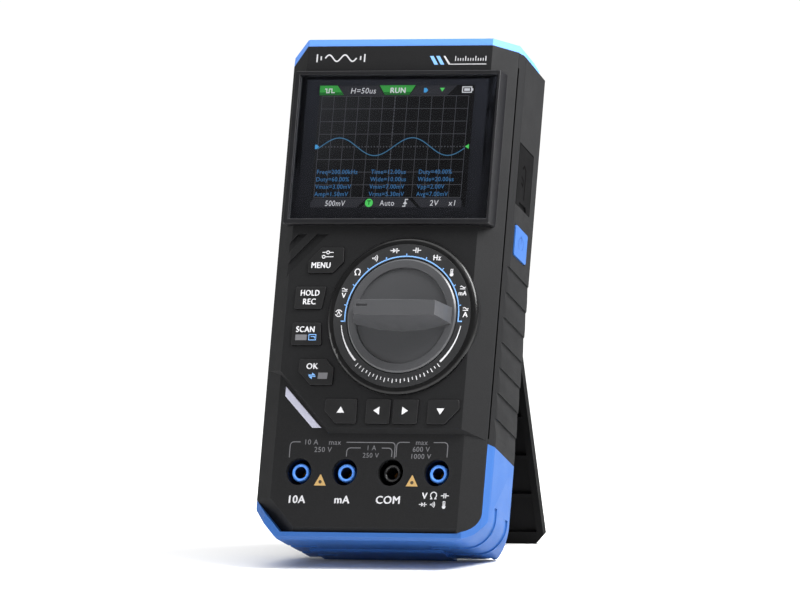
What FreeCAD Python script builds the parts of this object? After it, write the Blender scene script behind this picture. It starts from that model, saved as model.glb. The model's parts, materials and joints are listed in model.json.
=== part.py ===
import FreeCAD, Part
import os
from math import cos, radians, sin

import Sketcher
from FreeCAD import Placement, Rotation, Vector

# A hand-held oscilloscope and multimeter that leans back on its fold-out stand.
#
# Everything is drawn in the case's own frame, in millimetres: X to the right as the user sees
# it, Y from the keypad face to the back, Z up along the case from the underside of the bottom
# bumper. One placement then leans the whole case back, so that its lower rear edge and the
# foot of the stand both rest on Z = 0.

doc = FreeCAD.newDocument("HandheldOscilloscope")

DRIVING_DIMENSIONS = {
    # case, across
    "plateau_half": 34.28,
    "lower_half": 34.87,
    "seam_half": 41.63,
    "strip_half": 42.83,
    "case_half": 43.13,
    "back_half": 36.5,
    # case, front to back
    "lower_face": 1.85,
    "seam_face": 6.5,
    "seam_gap": 0.4,
    "strip_face": 9.5,
    "side_front": 10.5,
    "side_back": 29.65,
    "case_depth": 38.0,
    "wall": 2.0,
    # case, along its height
    "shell_bottom": 2.4,
    "shell_top": 173.7,
    "bumper_top": 176.25,
    "top_slope": 0.17,
    "step_height": 38.5,
    "step_slope": 0.8,
    # display
    "bezel_left": -37.3,
    "bezel_right": 38.9,
    "bezel_bottom": 110.0,
    "bezel_top": 164.4,
    "bezel_rise": 2.5,
    "bezel_back": 4.6,
    "glass_left": -35.4,
    "glass_right": 37.8,
    "glass_bottom": 111.9,
    "glass_top": 162.9,
    "glass_thick": 1.0,
    "screen_middle": 0.8,
    "screen_level": 137.65,
    "lcd_width": 66.0,
    "lcd_height": 46.8,
    "lcd_thick": 2.8,
    # range switch
    "dial_x": 9.46,
    "dial_z": 77.75,
    "dial_rise": 1.5,
    "boss_radius": 27.7,
    "ring_radius": 25.26,
    "well_radius": 20.35,
    "knob_radius": 20.05,
    "knob_rise": 2.0,
    "bar_rise": 15.4,
    "hub_radius": 8.0,
    "running_gap": 0.08,
    "rotor_radius": 18.5,
    # keys
    "key_rise": 0.6,
    "key_gap": 0.15,
    "key_flange": 0.35,
    # test-lead jacks
    "jack_pitch": 16.94,
    "jack_middle": 0.3,
    "jack_level": 23.46,
    "jack_bore": 2.0,
    "jack_tube": 3.2,
    "jack_well": 4.7,
    "jack_front": 3.4,
    "contact_front": 11.0,
    "jack_back": 24.0,
    # board
    "board_face": 9.0,
    "board_thick": 1.6,
    "board_half": 38.0,
    "board_bottom": 34.0,
    "board_top": 161.0,
    # stand
    "hinge_level": 94.0,
    "hinge_depth": 36.4,
    "hinge_radius": 1.5,
    "pin_radius": 0.9,
    "stand_half": 35.0,
    "stand_thick": 2.9,
    "recess_floor": 34.8,
    "stand_angle": 33.4,
    "lean_angle": 17.6,
    "pad_back": 34.6,
    "pad_drop": 0.8,
    # battery
    "cell_radius": 9.2,
    "cell_half": 32.6,
    "cell_level": 62.0,
    "cell_depth": 21.9,
}


class Size:
    """A length that carries both its number and the spreadsheet formula behind it."""

    def __init__(self, number, formula):
        self.number = number
        self.formula = formula

    def __add__(self, other):
        other = size(other)
        return Size(self.number + other.number, f"({self.formula} + {other.formula})")

    def __sub__(self, other):
        other = size(other)
        return Size(self.number - other.number, f"({self.formula} - {other.formula})")

    def __mul__(self, other):
        other = size(other)
        return Size(self.number * other.number, f"({self.formula} * {other.formula})")

    def __truediv__(self, other):
        other = size(other)
        return Size(self.number / other.number, f"({self.formula} / {other.formula})")

    def __neg__(self):
        return Size(-self.number, f"(-1 * {self.formula})")


def size(value):
    """Make a Size of a plain number, a Size, or the name of a driving dimension."""
    if isinstance(value, Size):
        return value
    if isinstance(value, str):
        return Size(DRIVING_DIMENSIONS[value], f"Sizes.{value}")
    return Size(float(value), f"{float(value):.6f}")


def sine(angle):
    """The sine of an angle given in degrees."""
    angle = size(angle)
    return Size(sin(radians(angle.number)), f"sin({angle.formula} * 1 deg)")


def cosine(angle):
    """The cosine of an angle given in degrees."""
    angle = size(angle)
    return Size(cos(radians(angle.number)), f"cos({angle.formula} * 1 deg)")


def fill_spreadsheet():
    """Write every driving dimension into the sheet, one aliased cell each."""
    sheet = doc.addObject("Spreadsheet::Sheet", "Sizes")
    for row, (name, value) in enumerate(DRIVING_DIMENSIONS.items(), start=1):
        sheet.set(f"A{row}", name)
        sheet.set(f"B{row}", str(value))
        sheet.setAlias(f"B{row}", name)
    doc.recompute()


fill_spreadsheet()

sub_parts = {}


def keep(item, name):
    """Register an object of the document as the sub-part of that name."""
    item.Label = name
    sub_parts[name] = item
    return item


def bind(item, path, value):
    """Drive one property of an object from the spreadsheet."""
    item.setExpression(path, size(value).formula)


# ---------------------------------------------------------------- sketches

def add_loop(sketch, corners):
    """Draw a closed loop of straight edges whose corners are all driven from the sheet."""
    corners = [(size(u), size(v)) for u, v in corners]
    points = [Vector(u.number, v.number, 0) for u, v in corners]
    first = sketch.GeometryCount
    count = len(points)
    for index in range(count):
        sketch.addGeometry(Part.LineSegment(points[index], points[(index + 1) % count]), False)
    for index in range(count):
        following = first + (index + 1) % count
        sketch.addConstraint(Sketcher.Constraint("Coincident", first + index, 2, following, 1))
    for index, (u, v) in enumerate(corners):
        for kind, value, axis in (("DistanceX", u, -2), ("DistanceY", v, -1)):
            pin_point(sketch, first + index, 1, kind, value, axis)


def pin_point(sketch, geometry, point, kind, value, axis):
    """Hold one coordinate of a sketch point at a driven distance from the sketch's origin."""
    if abs(value.number) < 1e-9:
        sketch.addConstraint(Sketcher.Constraint("PointOnObject", geometry, point, axis))
        return
    number = sketch.addConstraint(
        Sketcher.Constraint(kind, -1, 1, geometry, point, value.number))
    sketch.setExpression(f"Constraints[{number}]", value.formula)


def add_circle(sketch, u, v, radius):
    """Draw a circle whose centre and radius are driven from the sheet."""
    u, v, radius = size(u), size(v), size(radius)
    centre = Vector(u.number, v.number, 0)
    circle = sketch.addGeometry(Part.Circle(centre, Vector(0, 0, 1), radius.number), False)
    pin_point(sketch, circle, 3, "DistanceX", u, -2)
    pin_point(sketch, circle, 3, "DistanceY", v, -1)
    number = sketch.addConstraint(Sketcher.Constraint("Radius", circle, radius.number))
    sketch.setExpression(f"Constraints[{number}]", radius.formula)


# The three sketch planes: how their normal compares with the axis that lengths are given
# along, and the rotation that carries a sketch drawn on XY onto the plane.
PLANES = {
    "XY": ("XY_Plane", 1, Rotation()),
    "XZ": ("XZ_Plane", -1, Rotation(Vector(1, 0, 0), 90)),
    "YZ": ("YZ_Plane", 1, Rotation(Vector(1, 1, 1), 120)),
}


def body_sketch(body, plane, start, centre=(0, 0)):
    """Start a sketch in a body, parallel to one of its own origin planes."""
    role, sign, _ = PLANES[plane]
    sketch = body.newObject("Sketcher::SketchObject", f"{body.Name}_sketch")
    for origin_plane in body.Origin.OriginFeatures:
        if origin_plane.Role == role:
            sketch.AttachmentSupport = [(origin_plane, "")]
    sketch.MapMode = "FlatFace"
    bind(sketch, "AttachmentOffset.Base.x", centre[0])
    bind(sketch, "AttachmentOffset.Base.y", centre[1])
    bind(sketch, "AttachmentOffset.Base.z", size(start) * sign)
    return sketch


def draw(sketch, loops=(), circles=()):
    """Put loops and circles into a sketch."""
    for corners in loops:
        add_loop(sketch, corners)
    for u, v, radius in circles:
        add_circle(sketch, u, v, radius)
    return sketch


def rectangle(left, right, low, high):
    """The four corners of an upright rectangle."""
    return [(left, low), (right, low), (right, high), (left, high)]


# ------------------------------------------------- features of a PartDesign body

def new_body(name):
    """Start an empty body."""
    return doc.addObject("PartDesign::Body", name)


def pad(body, plane, start, length, loops=(), circles=()):
    """Grow a profile from start, by length, along the positive axis across the plane."""
    sketch = draw(body_sketch(body, plane, start), loops, circles)
    feature = body.newObject("PartDesign::Pad", f"{body.Name}_pad")
    feature.Profile = sketch
    feature.Reversed = PLANES[plane][1] < 0
    bind(feature, "Length", length)
    doc.recompute()
    return feature


def pocket(body, plane, start, length, loops=(), circles=()):
    """Cut a profile from start, by length, along the positive axis across the plane."""
    before = body.Shape.Volume
    sketch = draw(body_sketch(body, plane, start), loops, circles)
    feature = body.newObject("PartDesign::Pocket", f"{body.Name}_pocket")
    feature.Profile = sketch
    feature.Reversed = PLANES[plane][1] > 0
    bind(feature, "Length", length)
    doc.recompute()
    if body.Shape.Volume > before - 1e-6:
        raise RuntimeError(f"a pocket of {body.Label} cuts nothing")
    return feature


def revolve(body, axis, centre, corners):
    """Turn a half profile about an axis parallel to Y or X.

    About Y, centre is (x, z) and the corners are (radius, y). About X, centre is (y, z) and
    the corners are (x, radius).
    """
    offset = (centre[0], 0) if axis == "Y" else (0, centre[0])
    sketch = draw(body_sketch(body, "XY", centre[1], offset), [corners])
    feature = body.newObject("PartDesign::Revolution", f"{body.Name}_revolution")
    feature.Profile = sketch
    feature.ReferenceAxis = (sketch, ["V_Axis" if axis == "Y" else "H_Axis"])
    feature.Angle = 360
    doc.recompute()
    return feature


def straight_edges(shape, direction, accept):
    """The names of the straight edges that run along a direction and pass a test."""
    names = []
    for number, edge in enumerate(shape.Edges, start=1):
        if edge.Curve.TypeId != "Part::GeomLine":
            continue
        along = edge.Curve.Direction
        middle = edge.valueAt((edge.FirstParameter + edge.LastParameter) / 2)
        if abs(abs(along.dot(direction)) - 1) < 1e-6 and accept(middle):
            names.append(f"Edge{number}")
    return names


def dress(body, kind, value, direction, accept=lambda middle: True):
    """Fillet or chamfer the tip's straight edges that run along a direction."""
    tip = body.Tip
    names = straight_edges(tip.Shape, direction, accept)
    feature = body.newObject(f"PartDesign::{kind}", f"{body.Name}_{kind.lower()}")
    feature.Base = (tip, names)
    bind(feature, "Radius" if kind == "Fillet" else "Size", value)
    doc.recompute()
    return feature


ALONG_X = Vector(1, 0, 0)
ALONG_Y = Vector(0, 1, 0)
ALONG_Z = Vector(0, 0, 1)


# ------------------------------------------------------ solids of the Part workbench

def prism(name, plane, corners, start, length, slope=0.0):
    """A prism of a driven outline; slope tips an XZ prism downwards as it goes back."""
    sketch = doc.addObject("Sketcher::SketchObject", f"{name}_outline")
    sketch.Placement = Placement(Vector(), PLANES[plane][2])
    axis = {"XY": "z", "XZ": "y", "YZ": "x"}[plane]
    bind(sketch, f"Placement.Base.{axis}", start)
    if slope:
        bind(sketch, "Placement.Base.z", size(start) * size(slope) * -1)
    draw(sketch, [corners])
    return grown(name, sketch, {"x": ALONG_X, "y": ALONG_Y, "z": ALONG_Z}[axis], length, slope)


def grown(name, profile, direction, length, slope=0.0):
    """Extrude a profile along a direction, tipped downwards by a slope."""
    solid = doc.addObject("Part::Extrusion", name)
    solid.Base = profile
    solid.Solid = True
    solid.DirMode = "Custom"
    solid.Dir = direction
    stretch = 1.0
    if slope:
        solid.Dir = direction - ALONG_Z * size(slope).number
        bind(solid, "Dir.z", size(slope) * -1)
        stretch = (1 + size(slope).number ** 2) ** 0.5
    bind(solid, "LengthFwd", size(length) * stretch)
    return solid


def place(item, corner, rotation=None):
    """Put a Part primitive at a driven point."""
    item.Placement = Placement(Vector(*[size(value).number for value in corner]),
                               rotation or Rotation())
    for axis, value in zip("xyz", corner):
        bind(item, f"Placement.Base.{axis}", value)


def block(name, low, high):
    """A box between two driven corners."""
    item = doc.addObject("Part::Box", name)
    place(item, low)
    for side, first, last in zip(("Length", "Width", "Height"), low, high):
        bind(item, side, size(last) - first)
    return item


def rod(name, axis, start, length, radius):
    """A cylinder that starts at a driven point and runs along X, Y or Z."""
    item = doc.addObject("Part::Cylinder", name)
    turn = {"X": Rotation(Vector(0, 1, 0), 90), "Y": Rotation(Vector(1, 0, 0), -90),
            "Z": Rotation()}[axis]
    place(item, start, turn)
    bind(item, "Radius", radius)
    bind(item, "Height", length)
    return item


def fused(name, shapes):
    """The union of several solids."""
    item = doc.addObject("Part::MultiFuse", name)
    item.Shapes = shapes
    return item


def shared(name, shapes):
    """What several solids have in common."""
    item = doc.addObject("Part::MultiCommon", name)
    item.Shapes = shapes
    return item


def without(name, base, tools):
    """A solid with one or more others cut away."""
    item = doc.addObject("Part::Cut", name)
    item.Base = base
    item.Tool = tools[0] if len(tools) == 1 else fused(f"{name}_tools", tools)
    return item


def group(name, shapes):
    """Separate solids kept together as one sub-part."""
    item = doc.addObject("Part::Compound", name)
    item.Links = shapes
    return item


# ---------------------------------------------------------------- shared outlines

FAR = 60
HIGH = 200
seam_back = size("seam_face") + "seam_gap"
board_back = size("board_face") + size("board_thick")


def mirrored(half_profile):
    """Close a section that is drawn for the right side only, from front to back."""
    left = [(-size(x), y) for x, y in reversed(half_profile)]
    return list(half_profile) + left


def case_section(front_half, front_face):
    """The case's cross-section: front face, bevel, strip, side, rear chamfer and back."""
    return mirrored([
        (front_half, front_face),
        ("seam_half", seam_back),
        ("strip_half", "strip_face"),
        ("case_half", "side_front"),
        ("case_half", "side_back"),
        ("back_half", "case_depth"),
    ])


def above(name, left_corner, top, left_fall, right_corner, right_fall):
    """Everything above the case's sloping top, whose corners are cut off diagonally."""
    left_reach = size(left_corner) + FAR
    right_reach = size(FAR) - right_corner
    corners = [
        (-FAR, size(top) - left_reach * left_fall),
        (left_corner, top),
        (right_corner, top),
        (FAR, size(top) - right_reach * right_fall),
        (FAR, HIGH),
        (-FAR, HIGH),
    ]
    return prism(name, "XZ", corners, -20, 80, "top_slope")


def beneath(name, side, bottom, cut_low, cut_side, radius):
    """Everything outside the case's lower end: a cut left corner and a round right one."""
    below_all = -30
    left = prism(f"{name}_left", "XZ", [
        (-FAR, below_all), (cut_low, below_all), (cut_low, bottom),
        (-size(side), cut_side), (-FAR, size(cut_side) + 20)], -20, 80)
    bottom_slab = block(f"{name}_bottom", (-FAR, -20, below_all), (FAR, 60, bottom))
    corner_x = size(side) - radius
    corner_z = size(bottom) + radius
    square = block(f"{name}_square", (corner_x, -20, below_all), (FAR, 60, corner_z))
    disc = rod(f"{name}_disc", "Y", (corner_x, -20, corner_z), 80, radius)
    right = without(f"{name}_right", square, [disc])
    return fused(name, [left, bottom_slab, right])


above_shell = above("above_shell", -34.3, "shell_top", 0.62, 42.6, 0.8)
above_bumper = above("above_bumper", -34.8, "bumper_top", 0.56, 41.6, 1.5)
beneath_shell = beneath("beneath_shell", "seam_half", "shell_bottom", -30.5, 14.2, 8.5)
beneath_bumper = beneath("beneath_bumper", "case_half", 0, -31.7, 12.2, 10.4)


# ---------------------------------------------------------------- front cover

KEYS = {
    "key_mode": [(-22.6, 102.0), (-14.4, 102.0), (-14.0, 96.9), (-17.8, 93.0),
                 (-27.0, 93.0), (-27.1, 97.3)],
    "key_run": [(-30.9, 88.1), (-19.7, 88.1), (-20.8, 80.3), (-31.0, 80.3)],
    "key_auto": [(-31.0, 75.4), (-20.8, 75.4), (-19.7, 67.5), (-31.0, 67.5)],
    "key_enter": [(-27.3, 62.5), (-17.6, 62.5), (-14.4, 59.4), (-14.5, 53.5),
                  (-22.6, 53.5), (-27.4, 58.2)],
    "key_up": [(-16.4, 48.6), (-4.8, 48.6), (-4.5, 40.0), (-12.2, 40.0), (-16.5, 44.5)],
    "key_left": [(-1.2, 48.6), (7.7, 48.6), (7.7, 40.0), (-1.2, 40.0)],
    "key_right": [(8.7, 48.6), (17.9, 48.6), (17.9, 40.0), (8.7, 40.0)],
    "key_down": [(21.5, 48.6), (32.8, 48.6), (33.1, 45.4), (28.1, 40.0), (21.5, 40.0)],
}
KEY_ROUNDING = 0.7

LENS_OUTLINE = [(-32.5, 53.4), (-18.1, 38.9), (-21.5, 38.9), (-32.5, 50.0)]

CASE_SCREWS = [(-29.5, 164.4), (33.0, 164.4), (-22.0, 8.7), (32.0, 9.5)]
BOARD_SCREWS = [(-35.2, 98.0), (35.2, 98.0), (-35.2, 77.5), (35.2, 77.5)]


def rounded(name, corners, growth, start, length):
    """A prism of a key's outline with rounded corners, grown outwards by a small margin."""
    sketch = doc.addObject("Sketcher::SketchObject", f"{name}_outline")
    sketch.Placement = Placement(Vector(), PLANES["XZ"][2])
    bind(sketch, "Placement.Base.y", start)
    draw(sketch, [corners])
    inner = doc.addObject("Part::Offset2D", f"{name}_inner")
    inner.Source = sketch
    inner.Value = -KEY_ROUNDING
    outer = doc.addObject("Part::Offset2D", f"{name}_outer")
    outer.Source = inner
    bind(outer, "Value", size(growth) + KEY_ROUNDING)
    return grown(name, outer, ALONG_Y, length)


def louvre(name, left, width):
    """A shallow ramp cut along a 46 degree line that starts at the plateau's left edge."""
    angle = radians(46)
    along = Vector(-cos(angle), 0, -sin(angle))
    across = Vector(sin(angle), 0, -cos(angle))
    turn = Rotation(across, Vector(0, 1, 0), along)
    depth = 0.7
    sketch = doc.addObject("Sketcher::SketchObject", f"{name}_outline")
    sketch.Placement = Placement(Vector(left, 0, 106.9) - along * 20, turn)
    draw(sketch, [[(0, -1), (width * sin(angle), -1), (width * sin(angle), 0), (0, depth)]])
    solid = grown(f"{name}_ramp", sketch, along, 45)
    limit = block(f"{name}_limit", (-37, -5, 85), (-15, 5, 106.9))
    return shared(name, [solid, limit])


def front_blank():
    """The cover's outer form: a low jack panel with the keypad plateau standing on it."""
    low = prism("low_blank", "XY", mirrored([
        ("lower_half", "lower_face"), ("seam_half", "seam_face")]), 0, 190)
    high = prism("high_blank", "XY", mirrored([
        ("plateau_half", 0), ("seam_half", "seam_face")]), 0, 190)
    step = prism("step_outline", "XZ", [
        (-45, 68), (-34.4, 58.6), (-15.2, "step_height"), (34.3, "step_height"),
        (45, 42), (45, 190), (-45, 190)], 0, 8, "step_slope")
    plateau = shared("plateau", [high, step])
    boss = rod("dial_boss", "Y", ("dial_x", -size("dial_rise"), "dial_z"),
               size("dial_rise") + 5, "boss_radius")
    doc.recompute()
    rounded_boss = doc.addObject("Part::Fillet", "rounded_boss")
    rounded_boss.Base = boss
    front_rim = [number for number, edge in enumerate(boss.Shape.Edges, start=1)
                 if edge.Curve.TypeId == "Part::GeomCircle" and edge.CenterOfMass.y < 0]
    rounded_boss.Edges = [(number, 1.4, 1.4) for number in front_rim]
    inside = block("boss_limit", (-45, -5, 0), ("seam_half", 5, 190))
    limited_boss = shared("limited_boss", [rounded_boss, inside])
    return fused("front_blank", [low, plateau, limited_boss])


def corner_facet():
    """The broad facet that continues the bevel round the cut lower left corner."""
    along = Vector(9.9, 0, -10.5).normalize()
    outward = Vector(-10.5, 0, -9.9).normalize()
    turn = Rotation(outward, Vector(0, 1, 0), outward.cross(Vector(0, 1, 0)))
    sketch = doc.addObject("Sketcher::SketchObject", "corner_facet_outline")
    sketch.Placement = Placement(Vector(-41.63, 0, 14.2) - along * 12, turn)
    draw(sketch, [[(-4.9, -3), (3, -3), (3, size("seam_face")), (0, size("seam_face")),
                   (-4.9, "lower_face")]])
    return grown("corner_facet", sketch, along, 40)


def bottom_facet():
    """The narrow slope between the jack panel and the cover's bottom edge."""
    return prism("bottom_facet", "YZ", [
        (0, 4.1), ("lower_face", 4.1), (size("lower_face") + 1.7, "shell_bottom"),
        (0, "shell_bottom")], -31.5, 66)


def front_cavity():
    """The hollow inside the front cover."""
    wall = size("wall")
    inner_half = size("seam_half") - wall
    low = prism("front_low_hollow", "XY", mirrored([
        (size("lower_half") - 1.2, size("lower_face") + wall),
        (inner_half, size("seam_face") + 1.3), (inner_half, 20)]), 0, 190)
    high = prism("front_high_hollow", "XY", mirrored([
        (size("plateau_half") - 0.6, wall), (inner_half, size("seam_face") + 0.9),
        (inner_half, 20)]), 39.4, 152.6)
    outline = prism("front_hollow_outline", "XZ", [
        (-39.6, 17), (-28.4, 4.6), (34.5, 4.6), (39.6, 10), (39.6, 170.2), (-32.6, 170.2),
        (-39.6, 165.6)], 0, 30)
    return shared("front_cavity", [fused("front_hollows", [low, high]), outline])


def front_cover():
    """The dark front shell, with its openings, screw bosses and the lip that closes the seam."""
    blank = without("front_outer", front_blank(),
                    [above_shell, beneath_shell, corner_facet(), bottom_facet()])
    lip_outside = prism("lip_outside", "XZ", [
        (-40.8, 16.5), (-29, 3.6), (34.5, 3.6), (40.8, 10), (40.8, 170.6), (-33, 170.6),
        (-40.8, 165.2)], "seam_face", 2)
    shell = without("front_shell", fused("front_with_lip", [blank, lip_outside]),
                    [front_cavity()])
    bosses = [rod(f"front_boss_{index}", "Y", (x, 3.0, z), 5.85, 2.6)
              for index, (x, z) in enumerate(CASE_SCREWS)]
    bosses += [block(f"front_rib_{index}", (x - 1.3, 4.7, z), (x + 1.3, 8.85, 170.6))
               for index, (x, z) in enumerate(CASE_SCREWS[:2])]
    bosses += [rod(f"board_boss_{index}", "Y", (x, 3.4, z), size("board_face") - 3.4, 2.1)
               for index, (x, z) in enumerate(BOARD_SCREWS)]
    bosses += [rod(f"spring_post_{index}", "Y",
                   (size("dial_x") + side * 11.5, 1.5, size("dial_z") - "rotor_radius" - 3.8),
                   4.5, 1.1) for index, side in enumerate((-1, 1))]
    floor = rod("dial_floor", "Y", ("dial_x", 0.8, "dial_z"), 2.2, 22)
    solid = fused("front_solid", [shell, floor] + bosses)

    window = rounded("bezel_window", rectangle("bezel_left", "bezel_right", "bezel_bottom",
                                               "bezel_top"), 0.05, -6, 10.65)
    ring_seat = rod("ring_seat", "Y", ("dial_x", -6, "dial_z"), 5.4,
                    size("ring_radius") + 0.05)
    knob_well = rod("knob_well", "Y", ("dial_x", -6, "dial_z"), 6.8, "well_radius")
    hub_hole = rod("hub_hole", "Y", ("dial_x", -6, "dial_z"), 16,
                   size("hub_radius") + size("running_gap"))
    openings = [window, ring_seat, knob_well, hub_hole]
    openings += [rounded(f"{name}_hole", corners, "key_gap", -3, 9)
                 for name, corners in KEYS.items()]
    openings.append(prism("lens_hole", "XZ", LENS_OUTLINE, -3, 9))
    for number in range(4):
        openings.append(rod(f"jack_hole_{number}", "Y", (jack_x(number), -3, "jack_level"), 9,
                            "jack_well"))
    openings += [rod(f"front_pilot_{index}", "Y", (x, 4.6, z), 12, 1.0)
                 for index, (x, z) in enumerate(CASE_SCREWS)]
    openings += [rod(f"board_pilot_{index}", "Y", (x, 5.2, z), 12, 0.8)
                 for index, (x, z) in enumerate(BOARD_SCREWS)]
    openings += [louvre("small_louvre", -32.0, 3.3), louvre("large_louvre", -25.1, 4.4)]
    keep(without("front_cover", solid, openings), "front_cover")


def jack_x(number):
    """Where the jack of that number stands, counted from the left."""
    return size("jack_middle") + size("jack_pitch") * (number - 1.5)


# ---------------------------------------------------------------- rear cover and bumpers

GRIP_LINES = 7
GRIP_TOP = 97.9
GRIP_PITCH = 8.9
SIDE_SLOPE = 0.14

USB_OUTLINE = [(10.6, 142.0), (24.8, 140.0), (25.0, 118.4), (10.6, 120.2)]
POWER_OUTLINE = [(12.0, 113.4), (24.2, 111.7), (24.2, 101.0), (12.0, 102.4)]


def rear_body(name, front_half, front_face):
    """A full-height prism of the case's cross-section."""
    return prism(name, "XY", case_section(front_half, front_face), -5, 190)


def boot_zone(name):
    """Where the bottom bumper reaches: high on the left side, lower on the right."""
    left = prism(f"{name}_left", "YZ", [
        (-5, 59.5), (60, 50.4), (60, -30), (-5, -30)], -FAR, FAR - 35)
    right = prism(f"{name}_right", "YZ", [
        (-5, 36.4), (60, 27.3), (60, -30), (-5, -30)], -35, FAR + 35)
    return fused(name, [left, right])


def boot_region(name):
    """All that belongs to the boot: below the shell's lower end and over its lower sides."""
    strips = [block(f"{name}_strip_{index}", (left, -10, -10), (right, 60, 70))
              for index, (left, right) in enumerate(
                  ((-FAR, -size("seam_half")), ("seam_half", FAR)))]
    return shared(name, [fused(f"{name}_outside", [beneath_shell] + strips),
                         boot_zone(f"{name}_reach")])


def grip_notch(side, number):
    """A slanting ramp across one side of the case: deep along its top line, flush below."""
    start = size("case_half") * side
    depth = 0.55 * side
    top = GRIP_TOP - number * GRIP_PITCH + SIDE_SLOPE * 9.5
    corners = [(start + 2 * side, top), (start - depth, top - 0.25), (start - depth, top - 0.7),
               (start, top - 6.0), (start + 2 * side, top - 6.0)]
    name = f"grip_notch_{'right' if side > 0 else 'left'}_{number}"
    sketch = doc.addObject("Sketcher::SketchObject", f"{name}_outline")
    sketch.Placement = Placement(Vector(0, 6.7, -SIDE_SLOPE * 6.7), PLANES["XZ"][2])
    draw(sketch, [corners])
    return grown(name, sketch, Vector(0, 1, -SIDE_SLOPE), 28)


def rear_cavity():
    """The hollow of the rear cover, stepped in behind the rear chamfers."""
    inner = size("seam_half") - size("wall") - 0.1
    wide = prism("rear_wide_hollow", "XZ", [
        (-inner, 17.5), (-28, 4.9), (34, 4.9), (inner, 10.5), (inner, 166.4),
        (-33, 166.4), (-inner, 162.2)], 0, 30)
    narrow = prism("rear_narrow_hollow", "XZ", [
        (-36.2, 17.5), (-26, 4.9), (32, 4.9), (36.2, 10.5), (36.2, 164.0),
        (-31, 164.0), (-36.2, 160.0)], 29, size("recess_floor") - size("wall") - 29)
    lip_room = prism("lip_room", "XZ", [
        (-40.95, 16.4), (-29.1, 3.5), (34.6, 3.5), (40.95, 10), (40.95, 170.7),
        (-33.1, 170.7), (-40.95, 165.4)], 0, 8.9)
    return fused("rear_cavity", [wide, narrow, lip_room])


def rear_cover():
    """The rear tub: sides, back, stand recess, battery opening and the ports in its side."""
    body = rear_body("rear_outer", size("plateau_half"), 0)
    front_part = block("front_part", (-FAR, -10, -30), (FAR, seam_back, HIGH))
    boot = boot_region("rear_boot")
    shell = without("rear_shell", body,
                    [front_part, above_shell, beneath_shell_side(), boot, rear_cavity()])
    posts = [rod(f"rear_post_{index}", "Y", (x, 9.2, z), 24.5, 3.0)
             for index, (x, z) in enumerate(CASE_SCREWS)]
    posts_inside = shared("rear_posts", [
        fused("rear_post_group", posts),
        without("rear_post_limit", body, [above_shell, beneath_shell])])
    solid = fused("rear_solid", [shell, posts_inside])
    cuts = [rod(f"rear_clear_{index}", "Y", (x, 5, z), 40, 1.3)
            for index, (x, z) in enumerate(CASE_SCREWS)]
    cuts += [rod(f"rear_counterbore_{index}", "Y", (x, 26, z), 20, 2.4)
             for index, (x, z) in enumerate(CASE_SCREWS)]
    cuts.append(block("stand_recess", (-size("stand_half") - 0.4, "recess_floor", -5),
                      (size("stand_half") + 0.4, 50, size("hinge_level") + 2.2)))
    cuts.append(block("door_opening", (-33.15, 25, 42.85), (33.15, 50, 84.15)))
    cuts.append(rod("pin_seat", "X", (-37.2, "hinge_depth", "hinge_level"), 74.4, "pin_radius"))
    cuts.append(prism("usb_recess", "YZ", USB_OUTLINE, size("case_half") - 1.3, 5))
    cuts.append(block("usb_opening", (35, 12.0, 125.2), (50, 16.0, 134.8)))
    cuts.append(prism("power_opening", "YZ", POWER_OUTLINE, 35, 15))
    for side in (-1, 1):
        lines = GRIP_LINES if side > 0 else GRIP_LINES - 2
        cuts += [grip_notch(side, number) for number in range(lines)]
    keep(without("rear_cover", solid, cuts), "rear_cover")


def beneath_shell_side():
    """What lies under the rear cover's own outer sides, above the bumper's reach."""
    return beneath("beneath_side", "case_half", "shell_bottom", -30.5, 14.0, 10.0)


def top_bumper():
    """The band over the top of both covers; its front edge follows the bevels."""
    body = rear_body("top_outer", size("plateau_half") - 0.2, 0.35)
    behind = prism("behind_top_band", "YZ", [
        (21.5, HIGH), (21.5, 172.8), (24.4, 168), (24.4, 140), (60, 140), (60, HIGH)], -FAR,
        2 * FAR)
    band = without("top_bumper", shared("top_band", [body, above_shell]),
                   [above_bumper, behind])
    keep(band, "top_bumper")


def bottom_bumper():
    """The boot round the lower end, with contour grooves and the pad that it stands on."""
    body = rear_body("boot_outer", size("lower_half") + 1.6, 2.2)
    ring = without("boot_ring", shared("boot_band", [body, boot_region("boot")]),
                   [beneath_bumper])
    pad_block = prism("boot_pad", "YZ", [
        (19.5, 0.6), (19.5, -0.2), (20.3, -size("pad_drop")), ("pad_back", -size("pad_drop")),
        ("pad_back", 0.6)], -26, 49)
    recess = block("boot_recess", (-size("stand_half") - 0.4, "recess_floor", -5),
                   (size("stand_half") + 0.4, 50, 20))
    lip_slope = prism("lip_slope", "YZ", [
        (0, 0.9), (2.2, 0.9), (3.4, 0), (3.4, -5), (0, -5)], -FAR, 2 * FAR)
    grooves = []
    for index, depth in enumerate((14.4, 25.2)):
        skin = fused(f"groove_skin_{index}", [
            beneath(f"groove_corner_{index}", size("case_half") - 0.5, 0.55, -31.45, 12.4, 9.9),
            block(f"groove_side_{index}", (size("case_half") - 0.5, -5, 10), (60, 50, 20))])
        left_end = -22 + index * 3
        right_start = 21 + index * 2
        span = fused(f"groove_span_{index}", [
            prism(f"groove_left_{index}", "XZ", [
                (-60, -5), (left_end + 2, -5), (left_end, 2), (-60, 2)], depth, 2.6),
            prism(f"groove_right_{index}", "XZ", [
                (right_start - 2, -5), (60, -5), (60, 15.6 - 2 * index),
                (38, 13.6 - 2 * index), (38, 12), (right_start, 2)], depth, 2.6)])
        grooves.append(shared(f"boot_groove_{index}", [skin, span]))
    keep(without("bottom_bumper", fused("boot_solid", [ring, pad_block]),
                 [recess, lip_slope] + grooves), "bottom_bumper")


# ---------------------------------------------------------------- display

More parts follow.
